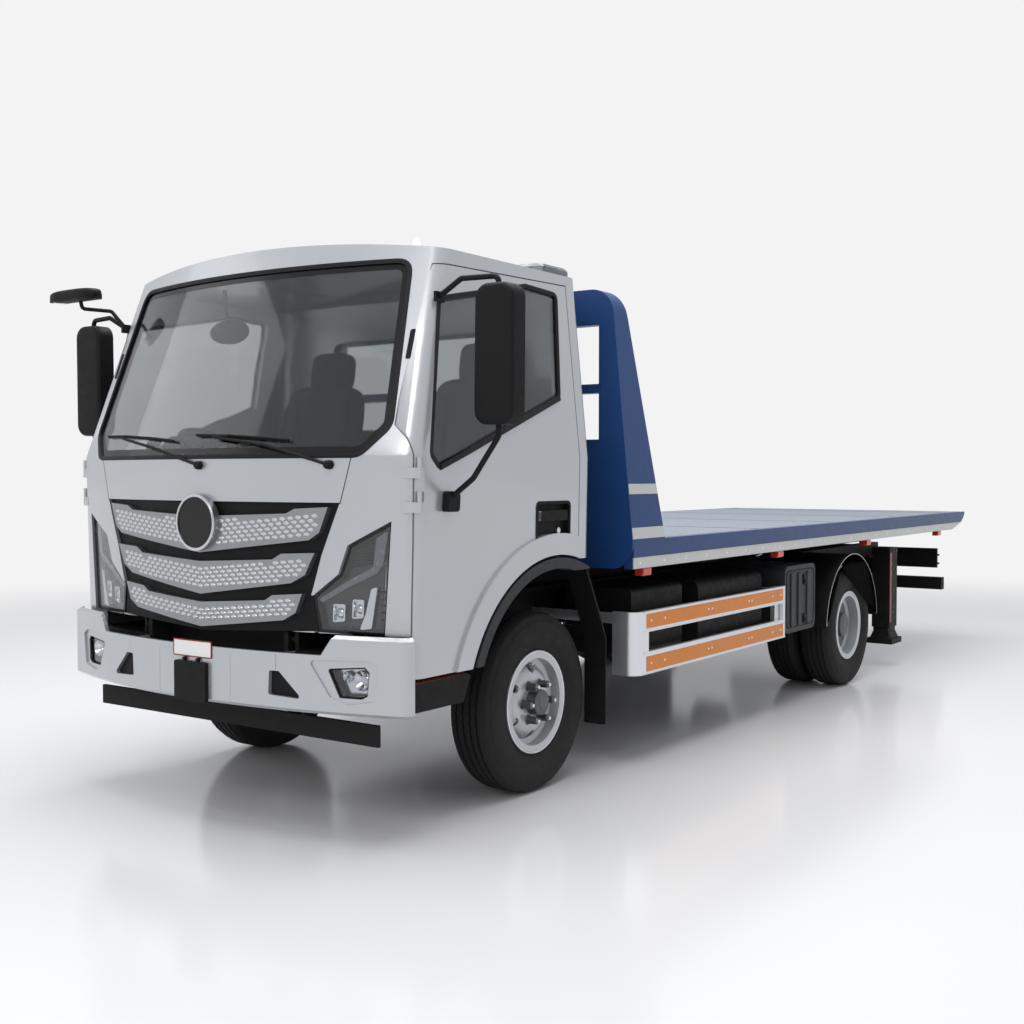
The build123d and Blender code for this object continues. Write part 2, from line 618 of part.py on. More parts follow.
with BuildPart() as wheel_arches:
    for s in (1, -1):
        disc_x(0, AXLE_Z, LINER_R - 2, s * 560, s * 940, hole=LINER_R - 12)
        disc_x(0, AXLE_Z, LINER_R - 8, s * 930, s * 1006, hole=ARCH_R)
    box(-1300, 1300, -900, 900, -400, 640, mode=Mode.SUBTRACT)
    box(-1300, 1300, 262, 900, 0, 1300, mode=Mode.SUBTRACT)
    box(-1300, 1300, 0, 900, 0, 985, mode=Mode.SUBTRACT)
save(wheel_arches.part, "wheel_arches")

with BuildPart() as seats:
    for x in (480, -480):
        side_outline([(-540, 1180), (-40, 1160), (-40, 1290), (-500, 1310)], x - 250, x + 250, radius=30)
        side_outline([(-80, 1170), (50, 1170), (185, 1850), (95, 1870)], x - 240, x + 240, radius=30)
        side_outline([(105, 1840), (185, 1830), (215, 2030), (150, 2040)], x - 130, x + 130, radius=25)
        box(x - 200, x + 200, -460, -80, 1075, 1190)
save(seats.part, "seats")

with BuildPart() as dashboard:
    side_outline([(-1100, 1080), (-760, 1080), (-700, 1250), (-740, 1430), (-900, 1470), (-1085, 1470)],
                 -868, 868, radius=30)
    add(cab_form(CAB_SKIN), mode=Mode.INTERSECT)
    rod_between((-480, -725, 1290), (-480, -603.5, 1474.7), 30)
    rod_between((-480, -669.5, 1374.5), (-480, -603, 1475.4), 13, mode=Mode.SUBTRACT)
save(dashboard.part, "dashboard")

with BuildPart() as steering_wheel:
    tilt = Plane(origin=(-480, fy(-600), 1480), x_dir=(1, 0, 0), z_dir=(0, 0.55, 0.835))
    rod_between((-480, -630, 1434.5), (-480, -600, 1480), 12.5)
    with BuildSketch(tilt) as hub:
        Circle(60)
    extrude(hub.sketch, amount=25)
    with BuildSketch(tilt) as spokes:
        Rectangle(430, 32)
    extrude(spokes.sketch, amount=14)
    with BuildSketch(tilt) as rimring:
        Circle(225)
        Circle(196, mode=Mode.SUBTRACT)
    extrude(rimring.sketch, amount=26)
save(steering_wheel.part, "steering_wheel")


# Door: skin with window, hinge leaves, arch flare and a handle bar in a recess
def flare_lip(s):
    with BuildPart() as lip:
        disc_x(0, AXLE_Z, FLARE_R, s * 950, s * 1100, hole=LINER_R + SEAM)
        add(FLARE_OUTER, mode=Mode.INTERSECT)
        add(CAB_INNER, mode=Mode.SUBTRACT)
        add(door_region(s, SEAM), mode=Mode.INTERSECT)
    return lip.part


def door(s):
    with BuildPart() as piece:
        add(CAB_OUTER)
        add(CAB_INNER, mode=Mode.SUBTRACT)
        add(door_region(s, SEAM), mode=Mode.INTERSECT)
        side_outline(DOOR_WINDOW, s * 700, s * 1200, mode=Mode.SUBTRACT, radius=28)
        side_outline([(-155, 1132), (105, 1132), (105, 1292), (-155, 1292)], s * 970, s * 1100,
                     mode=Mode.SUBTRACT, radius=22)
        add(flare_lip(s))
        for z in (1270, 1400):
            disc_z(s * HINGE_X, HINGE_Y, 9, z + 40.3, z + 80)
            plan_outline([(s * (HINGE_X - 5), HINGE_Y - 7), (s * (HINGE_X + 7), HINGE_Y + 2), (s * 1000, -925),
                          (s * 985, -925)], z + 40.3, z + 80)
        for y in (-128, 52):
            box(s * 969, s * 990, y, y + 26, 1214, 1256)
        side_outline([(-128, 1214), (78, 1214), (78, 1256), (-128, 1256)], s * 984, s * 1000, radius=12)
    return piece.part


def door_glass(s):
    with BuildPart() as pane:
        side_outline(DOOR_WINDOW, s * PILLAR_X, s * 1200, radius=28)
        add(GLASS_OUTER, mode=Mode.INTERSECT)
        add(GLASS_INNER, mode=Mode.SUBTRACT)
    return pane.part


# Mirror on two tubular stays from the door
def mirror(s):
    with BuildPart() as piece:
        front_outline([(s * 1124, 1602), (s * 1306, 1602), (s * 1310, 2137), (s * 1130, 2137)], -788, -700, radius=58)
        fillet(piece.faces().sort_by(Axis.Y)[0].edges(), 20)
        bent_tube([(s * 945, -763, 2105), (s * 1060, -770, 2165), (s * 1218, -745, 2165), (s * 1218, -745, 2130)],
                  25, 11)
        bent_tube([(s * 1004, -779, 1316), (s * 1120, -775, 1400), (s * 1218, -745, 1560), (s * 1218, -745, 1610)],
                  40, 11)
        box(s * 939.6, s * 952, -790, -736, 2085, 2125)
        side_outline([(-815, 1270), (-742, 1270), (-736, 1344), (-806, 1352)], s * 997.6, s * 1030, radius=16)
        if s < 0:
            plan_outline([(-1312, -935), (-1060, -952), (-962, -905), (-985, -868), (-1290, -862)], 2238, 2262, radius=17)
            bent_tube([(-948, -763, 2105), (-1010, -800, 2190), (-1110, -890, 2200), (-1110, -900, 2245)], 20, 9)
    return piece.part


for s, word in ((1, "left"), (-1, "right")):
    save(door(s), f"door_{word}")
    save(door_glass(s), f"door_glass_{word}")
    save(mirror(s), f"mirror_{word}")

# Steps under the doors, tanks and boxes
with BuildPart() as cab_steps:
    for s in (1, -1):
        side_outline([(-970, 618), (-610, 618), (-660, 510), (-970, 510)], s * 640, s * 985, radius=12)
        box(s * RAIL_X, s * 650, -830, -790, 642, 680)
        box(s * 640, s * 655, -830, -790, 600, 680)
save(cab_steps.part, "cab_steps")

with BuildPart() as tool_boxes:
    for s in (1, -1):
        side_outline([(2455, 455), (2935, 455), (2935, 860), (2455, 860)], s * 560, s * 1032, radius=48)
        for y in (2540, 2650, 2790):
            side_outline([(y, 490), (y + 56, 490), (y + 56, 815), (y, 815)], s * 1031, s * 1040, radius=20)
    pair(RAIL_X, 570, 2600, 2680, 700, 790)
save(tool_boxes.part, "tool_boxes")

with BuildPart() as tanks:
    for s in (1, -1):
        front_outline([(s * 560, 470), (s * 960, 470), (s * 960, 850), (s * 560, 850)], 1450, 2280, radius=60)
        front_outline([(s * 560, 520), (s * 940, 520), (s * 940, 850), (s * 560, 850)], 760, 1300, radius=30)
        box(s * RAIL_X, s * 565, 1600, 1660, 660, 760)
        box(s * RAIL_X, s * 565, 2080, 2140, 660, 760)
        box(s * RAIL_X, s * 565, 900, 960, 660, 760)
        box(s * RAIL_X, s * 565, 1160, 1220, 660, 760)
save(tanks.part, "tanks")

# Side guards: two boards, a front post that curves inwards and a rear post
with BuildPart() as side_guards:
    for s in (1, -1):
        for low, high in ((440, 550), (646, 748)):
            box(s * 1012, s * 1037, 705, 2447, low, high)
        with BuildSketch(Plane.XY.offset(440)) as post:
            with BuildLine():
                Line((s * 900, fy(645)), (s * 977, fy(645)))
                ThreePointArc((s * 977, fy(645)), (s * 1019.4, fy(662.6)), (s * 1037, fy(705)))
                Polyline((s * 1037, fy(705)), (s * 1037, fy(765)), (s * 1012, fy(765)), (s * 1012, fy(705)))
                ThreePointArc((s * 1012, fy(705)), (s * 1001.7, fy(680.3)), (s * 977, fy(670)))
                Polyline((s * 977, fy(670)), (s * 900, fy(670)), (s * 900, fy(645)))
            make_face()
        extrude(post.sketch, amount=308)
        box(s * 1012, s * 1037, 2417, 2447, 440, 748)
        box(s * 985, s * 1012, 2350, 2410, 440, 748)
        box(s * RAIL_X, s * 990, 2355, 2405, 690, 740)
        box(s * RAIL_X, s * 902, 648, 668, 690, 740)
save(side_guards.part, "side_guards")

# Rear arches over the twin wheels and the flap plates behind the front wheels
GUARD_R = 478.0
with BuildPart() as mudguards:
    for s in (1, -1):
        disc_x(WHEELBASE, AXLE_Z, GUARD_R, s * 575, s * 1050, hole=GUARD_R - 9)
        box(s * RAIL_X, s * 576, WHEELBASE - 30, WHEELBASE + 30, 790, 830)
        box(s * 560, s * 576, WHEELBASE - 30, WHEELBASE + 30, 790, AXLE_Z + GUARD_R - 4)
    box(-1300, 1300, 2500, 4500, -200, 430, mode=Mode.SUBTRACT)
    for s in (1, -1):
        side_outline([(300, 985), (312, 985), (440, 740), (486, 640), (486, 228), (478, 228), (478, 636), (430, 736)],
                     s * 845, s * 962)
    pair(RAIL_X, 860, 470, 484, 655, 690)
save(mudguards.part, "mudguards")

# Stabiliser leg sleeves on a cross tube, and the sliding legs
with BuildPart() as leg_sleeves:
    for s in (1, -1):
        x = s * LEG_X
        box(x - LEG_W / 2, x + LEG_W / 2, LEG_Y - LEG_D / 2, LEG_Y + LEG_D / 2, LEG_LOW + 60, LEG_TOP)
        box(x - LEG_W / 2 + 8, x + LEG_W / 2 - 8, LEG_Y - LEG_D / 2 + 8, LEG_Y + LEG_D / 2 - 8, LEG_LOW, LEG_TOP - 8,
            mode=Mode.SUBTRACT)
        box(s * RAIL_X, s * (LEG_X - LEG_W / 2 + 2), LEG_Y - 50, LEG_Y + 50, 680, 800)
save(leg_sleeves.part, "leg_sleeves")

for s, word in ((1, "left"), (-1, "right")):
    with BuildPart() as leg:
        x = s * LEG_X
        box(x - LEG_W / 2 + 8.8, x + LEG_W / 2 - 8.8, LEG_Y - LEG_D / 2 + 8.8, LEG_Y + LEG_D / 2 - 8.8,
            LEG_LOW - 20, LEG_TOP - 190)
        box(x - 95, x + 95, LEG_Y - 110, LEG_Y + 110, LEG_LOW - 59, LEG_LOW - 20)
        with BuildSketch(Plane.XY.offset(LEG_LOW - 20)) as foot:
            with Locations((x, fy(LEG_Y))):
                RectangleRounded(160, 190, 20)
        extrude(foot.sketch, amount=48, taper=24)
    save(leg.part, f"leg_{word}")

with BuildPart() as rear_underrun:
    box(-955, 955, 5930, 6000, 458, 558)
    box(-923, 923, 5905, 5925, 640, 800)
    pair(380, 428, 5900, 5935, 500, 800)
    for s in (1, -1):
        for z in (672, 742):
            rod_between((s * 912, 5915, z), (s * 912, 5985, z), 9)
save(rear_underrun.part, "rear_underrun")

with BuildPart() as tail_lamps:
    pair(600, 900, 5925, 5950, 690, 800)
save(tail_lamps.part, "tail_lamps")

# Tilt frame: box rails on two pivot pins, with the eye brackets
with BuildPart() as tilt_frame:
    for s in (1, -1):
        box(s * (TILT_X - 40), s * (TILT_X + 12), 640, TILT_Y + 45, TILT_LOW, TILT_LOW + TILT_H)
        disc_x(TILT_Y, TILT_Z, PIN_R, s * (TILT_X + 10), s * 372)
        for dx in (-36, 24):
            side_outline([(LIFT_EYE[0] - 30, LIFT_EYE[1] - 28), (LIFT_EYE[0] + 110, LIFT_EYE[1] - 28),
                          (LIFT_EYE[0] + 110, TILT_LOW + TILT_H), (LIFT_EYE[0] - 30, TILT_LOW + TILT_H)],
                         s * LIFT_X + dx, s * LIFT_X + dx + 12)
    for y in (660, 1500, 2300, 2900, LIFT_EYE[0] + 90, 5200, 5680):
        box(-TILT_X, TILT_X, y, y + 50, TILT_LOW + 2, TILT_LOW + 18)
save(tilt_frame.part, "tilt_frame")

with BuildPart() as tilt_barrels:
    for s in (1, -1):
        a = (s * LIFT_X, *LIFT_BASE)
        slope = (LIFT_EYE[1] - LIFT_BASE[1]) / (LIFT_EYE[0] - LIFT_BASE[0])
        b = (s * LIFT_X, LIFT_BASE[0] + 700, LIFT_BASE[1] + 700 * slope)
        disc_x(*LIFT_BASE, 34, s * LIFT_X - 20, s * LIFT_X + 20)
        start = (a[0], a[1] + 50, a[2] + 50 * slope)
        rod_between(start, b, LIFT_R)
        rod_between(a, (a[0], a[1] + 60, a[2] + 60 * slope), 19)
        rod_between((a[0], a[1] + 75, a[2] + 75 * slope), (b[0], b[1] + 20, b[2] + 3.3), 31, mode=Mode.SUBTRACT)
        disc_x(*LIFT_BASE, 14.6, s * LIFT_X - 60, s * LIFT_X + 60, mode=Mode.SUBTRACT)
save(tilt_barrels.part, "tilt_barrels")

with BuildPart() as tilt_rods:
    for s in (1, -1):
        slope = (LIFT_EYE[1] - LIFT_BASE[1]) / (LIFT_EYE[0] - LIFT_BASE[0])
        rod_between((s * LIFT_X, LIFT_BASE[0] + 120, LIFT_BASE[1] + 120 * slope), (s * LIFT_X, *LIFT_EYE), 22)
        rod_between((s * LIFT_X, LIFT_BASE[0] + 120, LIFT_BASE[1] + 120 * slope),
                    (s * LIFT_X, LIFT_BASE[0] + 160, LIFT_BASE[1] + 160 * slope), 30.4)
        disc_x(*LIFT_EYE, 26, s * LIFT_X - 18, s * LIFT_X + 18)
save(tilt_rods.part, "tilt_rods")

# Deck: runners, cross beams, plate, side rails and headboard
DECK_LOW = TILT_LOW + TILT_H + RUN_GAP
with BuildPart() as deck_runners:
    pair(TILT_X - 50, TILT_X + 22, DECK_FRONT + 20, DECK_REAR - 60, DECK_LOW, 1040)
save(deck_runners.part, "deck_runners")

BEAM_PITCH = 380.0
with BuildPart() as deck_beams:
    for i in range(15):
        y = DECK_FRONT + 20 + i * BEAM_PITCH
        box(-990, 990, y, y + 50, 1040, 1085)
    box(-40, 40, SLIDE_FRONT + SLIDE_LEN + 60, SLIDE_FRONT + SLIDE_LEN + 120, 885, 1085)
save(deck_beams.part, "deck_beams")

PLATE_FRONT = 925.0
with BuildPart() as deck_plate:
    box(-998, 998, PLATE_FRONT, DECK_REAR, 1085, DECK_TOP)
    for i in range(6):
        y = 1300 + i * 800
        for s in (1, -1):
            plan_outline([(s * 919, y), (s * 941, y), (s * 941, y + 80), (s * 919, y + 80)], 1080, 1110,
                         mode=Mode.SUBTRACT, radius=10)
save(deck_plate.part, "deck_plate")

HEAD_FOOT = 12.0
STRIP_LOW = 962.0
STRIP_TOP = 1018.0
with BuildPart() as deck_rails:
    for s in (1, -1):
        side_outline([(DECK_FRONT + HEAD_FOOT, STRIP_LOW), (DECK_REAR - 330, STRIP_LOW), (DECK_REAR - 110, 1008),
                      (DECK_REAR - 24, 1060), (DECK_REAR, 1086), (DECK_REAR, DECK_TOP), (DECK_FRONT + HEAD_FOOT, DECK_TOP)],
                     s * 998, s * DECK_HALF)
        box(s * 1043, s * 1060, 0, 9000, 950, STRIP_TOP, mode=Mode.SUBTRACT)
save(deck_rails.part, "deck_rails")

# Headboard: a box frame with tapering sides, six windows and round upper corners
HEAD_TOP = 2305.0
with BuildPart() as headboard:
    side_outline([(DECK_FRONT, STRIP_LOW), (DECK_FRONT + HEAD_FOOT, STRIP_LOW), (DECK_FRONT + HEAD_FOOT, DECK_TOP),
                  (DECK_FRONT + 326, DECK_TOP), (DECK_FRONT + 135, 2165), (DECK_FRONT + 100, HEAD_TOP),
                  (DECK_FRONT, HEAD_TOP)], -1100, 1100)
    with BuildSketch(Plane.XZ.offset(-fy(DECK_FRONT - 10))) as face:
        with BuildLine():
            Polyline((-1050, 960), (1050, 960), (1050, DECK_TOP), (945, 2165), (931, HEAD_TOP),
                     (-931, HEAD_TOP), (-945, 2165), (-1050, DECK_TOP), close=True)
        make_face()
        fillet(face.vertices().group_by(Axis.Z)[-1], 125)
    extrude(face.sketch, amount=-600, mode=Mode.INTERSECT)
    with BuildSketch(Plane.XZ.offset(-fy(DECK_FRONT + 60))) as hollow:
        with BuildLine():
            Polyline((-985, DECK_TOP), (985, DECK_TOP), (885, 2165), (872, HEAD_TOP - 62), (-872, HEAD_TOP - 62),
                     (-885, 2165), close=True)
        make_face()
        fillet(hollow.vertices().group_by(Axis.Z)[-1], 70)
    extrude(hollow.sketch, amount=-600, mode=Mode.SUBTRACT)
    for x0, x1 in ((-862, -310), (-262, 262), (310, 862)):
        for z0, z1 in ((1583, 1806), (1850, 2133)):
            box(x0, x1, 500, 700, z0, z1, mode=Mode.SUBTRACT)
save(headboard.part, "headboard")

with BuildPart() as light_bar:
    plan_outline([(-675, 345), (675, 345), (675, 640), (-675, 640)], 2371, 2420, radius=70)
    chamfer(light_bar.faces().sort_by(Axis.Z)[-1].edges(), 14)
    for s in (1, -1):
        box(s * 380, s * 420, 585, 632, HEAD_TOP, 2371)
save(light_bar.part, "light_bar")

with BuildPart() as marker_lamps:
    for y in (690, 2316, 3848, 5506):
        pair(1000, 1040, y, y + 90, 925, 961.5)
save(marker_lamps.part, "marker_lamps")

with BuildPart() as winch_frame:
    box(-998, 998, DECK_FRONT + HEAD_FOOT, PLATE_FRONT, 1085, DECK_TOP)
    for x in (-230, 210):
        side_outline([(700, DECK_TOP), (920, DECK_TOP), (920, 1180), (860, 1300), (760, 1300), (700, 1180)], x, x + 20)
    pair(100, 215, 700, 920, DECK_TOP, 1108)
    disc_x(810, 1215, 22, -235, -150)
    disc_x(810, 1215, 22, 150, 235)
save(winch_frame.part, "winch_frame")

with BuildPart() as winch_drum:
    disc_x(810, 1215, 50, -180, 180)
    disc_x(810, 1215, 92, -185, -165)
    disc_x(810, 1215, 92, 165, 185)
    disc_x(810, 1215, 22.6, -200, -140, mode=Mode.SUBTRACT)
    disc_x(810, 1215, 22.6, 140, 200, mode=Mode.SUBTRACT)
save(winch_drum.part, "winch_drum")

# Slide cylinder: barrel on the tilt frame, rod to the deck bracket
with BuildPart() as slide_barrel:
    rod_between((0, SLIDE_FRONT, SLIDE_Z), (0, SLIDE_FRONT + SLIDE_LEN, SLIDE_Z), SLIDE_R, hole=SLIDE_R - 10)
    rod_between((0, SLIDE_FRONT - 20, SLIDE_Z), (0, SLIDE_FRONT, SLIDE_Z), SLIDE_R)
    for y in (1500, 2300):
        box(-45, 45, y, y + 50, TILT_LOW + 18, SLIDE_Z - SLIDE_R + 8)
save(slide_barrel.part, "slide_barrel")

with BuildPart() as slide_rod:
    rod_between((0, SLIDE_FRONT + 20, SLIDE_Z), (0, SLIDE_FRONT + SLIDE_LEN + 60, SLIDE_Z), 16)
    rod_between((0, SLIDE_FRONT + 20, SLIDE_Z), (0, SLIDE_FRONT + 60, SLIDE_Z), SLIDE_R - 10.6)
save(slide_rod.part, "slide_rod")
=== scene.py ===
"""Sliding deck recovery truck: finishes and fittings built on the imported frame."""
import logging
import math
from dataclasses import dataclass
from enum import Enum
from typing import Any, Callable, Sequence

import bmesh
import bpy
from mathutils import Matrix, Quaternion, Vector

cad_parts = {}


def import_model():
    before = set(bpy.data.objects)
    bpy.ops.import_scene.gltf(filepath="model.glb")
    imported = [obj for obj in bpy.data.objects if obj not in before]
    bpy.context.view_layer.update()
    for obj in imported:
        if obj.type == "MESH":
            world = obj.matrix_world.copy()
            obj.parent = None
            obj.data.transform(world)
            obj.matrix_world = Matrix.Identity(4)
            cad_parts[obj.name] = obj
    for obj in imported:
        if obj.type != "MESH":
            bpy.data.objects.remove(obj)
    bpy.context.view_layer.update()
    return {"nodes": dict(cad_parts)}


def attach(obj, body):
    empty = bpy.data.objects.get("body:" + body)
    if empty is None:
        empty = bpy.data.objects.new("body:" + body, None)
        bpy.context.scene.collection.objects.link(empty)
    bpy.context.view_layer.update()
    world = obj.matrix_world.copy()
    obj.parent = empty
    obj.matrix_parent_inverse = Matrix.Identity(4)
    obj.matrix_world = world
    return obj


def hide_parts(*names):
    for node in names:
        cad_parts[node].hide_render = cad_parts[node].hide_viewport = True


LOG = logging.getLogger("recovery_truck")
Point = tuple[float, float, float]
Flat = tuple[float, float]
Colour = tuple[float, float, float]
Sockets = Sequence[tuple[str, str]]

# Main places of the truck, metres
FRONT_AXLE = -2.527
WHEELBASE = 3.57
AXLE_Z = 0.402
FRONT_WHEEL_X = 0.8
REAR_WHEEL_X = 0.93
REAR_INNER_X = 0.69
BUMPER_FRONT = -1.190
BUMPER_HALF = 1.003
BUMPER_BOW = 0.180

# Directions
ALONG_X, ALONG_Y, UPWARDS = (1.0, 0.0, 0.0), (0.0, 1.0, 0.0), (0.0, 0.0, 1.0)

# Points nearer than this are one, a pole's ring has this radius, a flat plate gets no cuts at this spacing
MERGE = 0.00002
TIP = 0.0002
UNCUT = 10.0


def along(y: float) -> float:
    """Turns a distance behind the front axle, in metres, into the frame's Y."""
    return FRONT_AXLE + y


class Side(Enum):
    """The two sides of the truck, by the sign of X."""

    LEFT = 1
    RIGHT = -1

    @property
    def word(self) -> str:
        """The word that node and body names use."""
        return self.name.lower()


# Node trees

def feed(tree: bpy.types.NodeTree, node: bpy.types.Node, inputs: dict[str | int, Any]) -> None:
    """Gives each named input of a node a value, or a link where the value is a socket."""
    for label, value in inputs.items():
        if isinstance(value, bpy.types.NodeSocket):
            tree.links.new(value, node.inputs[label])
        else:
            node.inputs[label].default_value = value


def add_node(tree: bpy.types.NodeTree, kind: str, inputs: dict[str | int, Any],
             **settings: Any) -> bpy.types.Node:
    """Adds a node to a tree.

    Args:
        tree: the tree.
        kind: the node's type.
        inputs: a value or another node's output for each input.
        settings: the node's own settings, which are made before its inputs.

    Returns:
        The new node.
    """
    node = tree.nodes.new(kind)
    for name, value in settings.items():
        setattr(node, name, value)
    feed(tree, node, inputs)
    return node


def open_sockets(tree: bpy.types.NodeTree, inputs: Sockets, outputs: Sockets) -> dict[str, Any]:
    """Gives a group its sockets, each as a name and a short kind such as Float.

    Args:
        tree: the group.
        inputs: its inputs.
        outputs: its outputs.

    Returns:
        The inputs' interface items by name.
    """
    made = {label: tree.interface.new_socket(label, in_out="INPUT", socket_type=f"NodeSocket{kind}")
            for label, kind in inputs}
    for label, kind in outputs:
        tree.interface.new_socket(label, in_out="OUTPUT", socket_type=f"NodeSocket{kind}")
    return made


def weathered_surface() -> bpy.types.NodeTree:
    """The shader group of every finish: patchy colour, road dust low down, uneven gloss and a fine grain.

    Returns:
        The group, built at the first call, with Color, Roughness and Normal outputs.
    """
    name = "weathered_surface"
    if name in bpy.data.node_groups:
        return bpy.data.node_groups[name]
    tree = bpy.data.node_groups.new(name, "ShaderNodeTree")
    sockets = open_sockets(tree, [("Base", "Color"), ("Shade", "Color"), ("Dust", "Color"),
                                  ("Patch Scale", "Float"), ("Patch Amount", "Float"), ("Dust Top", "Float"),
                                  ("Dust Amount", "Float"), ("Rough Low", "Float"), ("Rough High", "Float"),
                                  ("Grain Scale", "Float"), ("Grain Depth", "Float")],
                           [("Color", "Color"), ("Roughness", "Float"), ("Normal", "Vector")])
    sockets["Dust"].default_value = (0.33, 0.30, 0.26, 1)
    given = tree.nodes.new("NodeGroupInput").outputs
    place = add_node(tree, "ShaderNodeTexCoord", {}).outputs["Object"]
    patch = add_node(tree, "ShaderNodeTexNoise", {"Detail": 5.0, "Vector": place,
                                                  "Scale": given["Patch Scale"]})
    share = add_node(tree, "ShaderNodeMath", {0: patch.outputs["Fac"], 1: given["Patch Amount"]},
                     operation="MULTIPLY")
    tint = add_node(tree, "ShaderNodeMix", {"Factor": share.outputs[0], 6: given["Base"], 7: given["Shade"]},
                    data_type="RGBA")
    height = add_node(tree, "ShaderNodeSeparateXYZ", {0: place})
    band = add_node(tree, "ShaderNodeMapRange", {"Value": height.outputs["Z"], "From Max": given["Dust Top"],
                                                 "From Min": 0.0, "To Min": 1.0, "To Max": 0.0})
    speck = add_node(tree, "ShaderNodeTexNoise", {"Scale": 26.0, "Detail": 6.0, "Vector": place})
    low = add_node(tree, "ShaderNodeMath", {0: band.outputs[0], 1: speck.outputs["Fac"]},
                   operation="MULTIPLY")
    much = add_node(tree, "ShaderNodeMath", {0: low.outputs[0], 1: given["Dust Amount"]},
                    operation="MULTIPLY")
    dusty = add_node(tree, "ShaderNodeMix", {"Factor": much.outputs[0], 6: tint.outputs[2],
                                             7: given["Dust"]}, data_type="RGBA")
    gloss = add_node(tree, "ShaderNodeMapRange", {"Value": speck.outputs["Fac"], "From Min": 0.3,
                                                  "From Max": 0.7, "To Min": given["Rough Low"],
                                                  "To Max": given["Rough High"]})
    grain = add_node(tree, "ShaderNodeTexNoise", {"Detail": 2.0, "Vector": place,
                                                  "Scale": given["Grain Scale"]})
    bump = add_node(tree, "ShaderNodeBump", {"Strength": 0.6, "Distance": given["Grain Depth"],
                                             "Height": grain.outputs["Fac"]})
    add_node(tree, "NodeGroupOutput", {"Color": dusty.outputs[2], "Roughness": gloss.outputs[0],
                                       "Normal": bump.outputs[0]})
    return tree


# Finishes

@dataclass(frozen=True)
class Finish:
    """One finish: its colours, gloss, grain, how dusty it is and its slot name."""

    name: str
    base: Colour
    shade: Colour
    rough: Flat = (0.35, 0.45)
    metallic: float = 0.0
    coat: float = 0.0
    patch: Flat = (3.0, 0.4)
    dust: Flat = (0.8, 0.15)
    grain: Flat = (300.0, 0.0003)
    clear: float = 0.0
    specular: float = 0.5
    slot: str = "black_plastic"

    def build(self) -> bpy.types.Material:
        """Makes the material, once.

        Returns:
            The finish as a node material.
        """
        if self.name in bpy.data.materials:
            return bpy.data.materials[self.name]
        made = bpy.data.materials.new(self.name)
        made.use_nodes = True
        tree = made.node_tree
        group = add_node(tree, "ShaderNodeGroup", {"Base": (*self.base, 1.0), "Shade": (*self.shade, 1.0),
                                                   "Patch Scale": self.patch[0],
                                                   "Patch Amount": self.patch[1], "Dust Top": self.dust[0],
                                                   "Dust Amount": self.dust[1], "Rough Low": self.rough[0],
                                                   "Rough High": self.rough[1], "Grain Scale": self.grain[0],
                                                   "Grain Depth": self.grain[1]},
                         node_tree=weathered_surface())
        feed(tree, tree.nodes["Principled BSDF"], {"Base Color": group.outputs["Color"],
                                                   "Roughness": group.outputs["Roughness"],
                                                   "Normal": group.outputs["Normal"],
                                                   "Metallic": self.metallic,
                                                   "Specular IOR Level": self.specular,
                                                   "Coat Weight": self.coat, "Coat Roughness": 0.06,
                                                   "Transmission Weight": self.clear})
        made.diffuse_color = (*self.base, 1.0)
        return made


SILVER = Finish("silver_body_paint", (0.47, 0.485, 0.505), (0.44, 0.455, 0.475), (0.29, 0.32), 0.6, 0.7,
                (2.0, 0.3), (0.8, 0.06), (1400.0, 0.00004), slot="silver_paint")
BLUE = Finish("blue_deck_paint", (0.008, 0.042, 0.150), (0.007, 0.034, 0.120), (0.34, 0.42), 0.0, 0.10,
              (3.0, 0.5), (1.1, 0.05), (700.0, 0.00006), specular=0.25, slot="blue_paint")
CHASSIS_BLACK = Finish("black_chassis_paint", (0.006, 0.006, 0.0065), (0.010, 0.0098, 0.0095), (0.42, 0.6),
                       0.0, 0.0, (6.0, 0.6), (0.9, 0.05), (260.0, 0.0004), specular=0.12)
TRIM_BLACK = Finish("black_grained_plastic", (0.006, 0.006, 0.0068), (0.0095, 0.0095, 0.010), (0.45, 0.6),
                    0.0, 0.0, (8.0, 0.5), (0.7, 0.04), (700.0, 0.0005), specular=0.14)
GLOSS_BLACK = Finish("black_gloss_plastic", (0.005, 0.005, 0.006), (0.008, 0.008, 0.009), (0.12, 0.2), 0.0,
                     0.15, specular=0.25)
CABIN_GLASS = Finish("tinted_cab_glass", (0.60, 0.62, 0.62), (0.57, 0.60, 0.60), (0.02, 0.05), 0.0, 0.0,
                     (2.0, 0.2), (0.5, 0.0), (40.0, 0.0), 1.0)
LAMP_CLEAR = Finish("clear_lamp_lens", (0.78, 0.80, 0.82), (0.74, 0.76, 0.78), (0.03, 0.08), 0.0, 0.0,
                    (2.0, 0.2), (0.5, 0.0), (40.0, 0.0), 1.0, slot="lamp_clear")
LAMP_RED = Finish("red_lamp_lens", (0.50, 0.035, 0.012), (0.42, 0.03, 0.012), (0.15, 0.25), 0.0, 0.4,
                  slot="lamp_red")
TYRE_RUBBER = Finish("tyre_rubber", (0.0105, 0.0105, 0.011), (0.017, 0.0165, 0.016), (0.62, 0.8), 0.0, 0.0,
                     (9.0, 0.5), (0.5, 0.05), (420.0, 0.0005), specular=0.22, slot="tyre")
WHEEL_SILVER = Finish("silver_wheel_paint", (0.50, 0.515, 0.535), (0.42, 0.43, 0.44), (0.30, 0.42), 0.6, 0.3,
                      (7.0, 0.4), (0.7, 0.10), (420.0, 0.0002))
CAST_IRON = Finish("rough_cast_iron", (0.030, 0.029, 0.028), (0.045, 0.038, 0.032), (0.6, 0.8), 0.3, 0.0,
                   (9.0, 0.6), (0.8, 0.15), (200.0, 0.0012), specular=0.3)
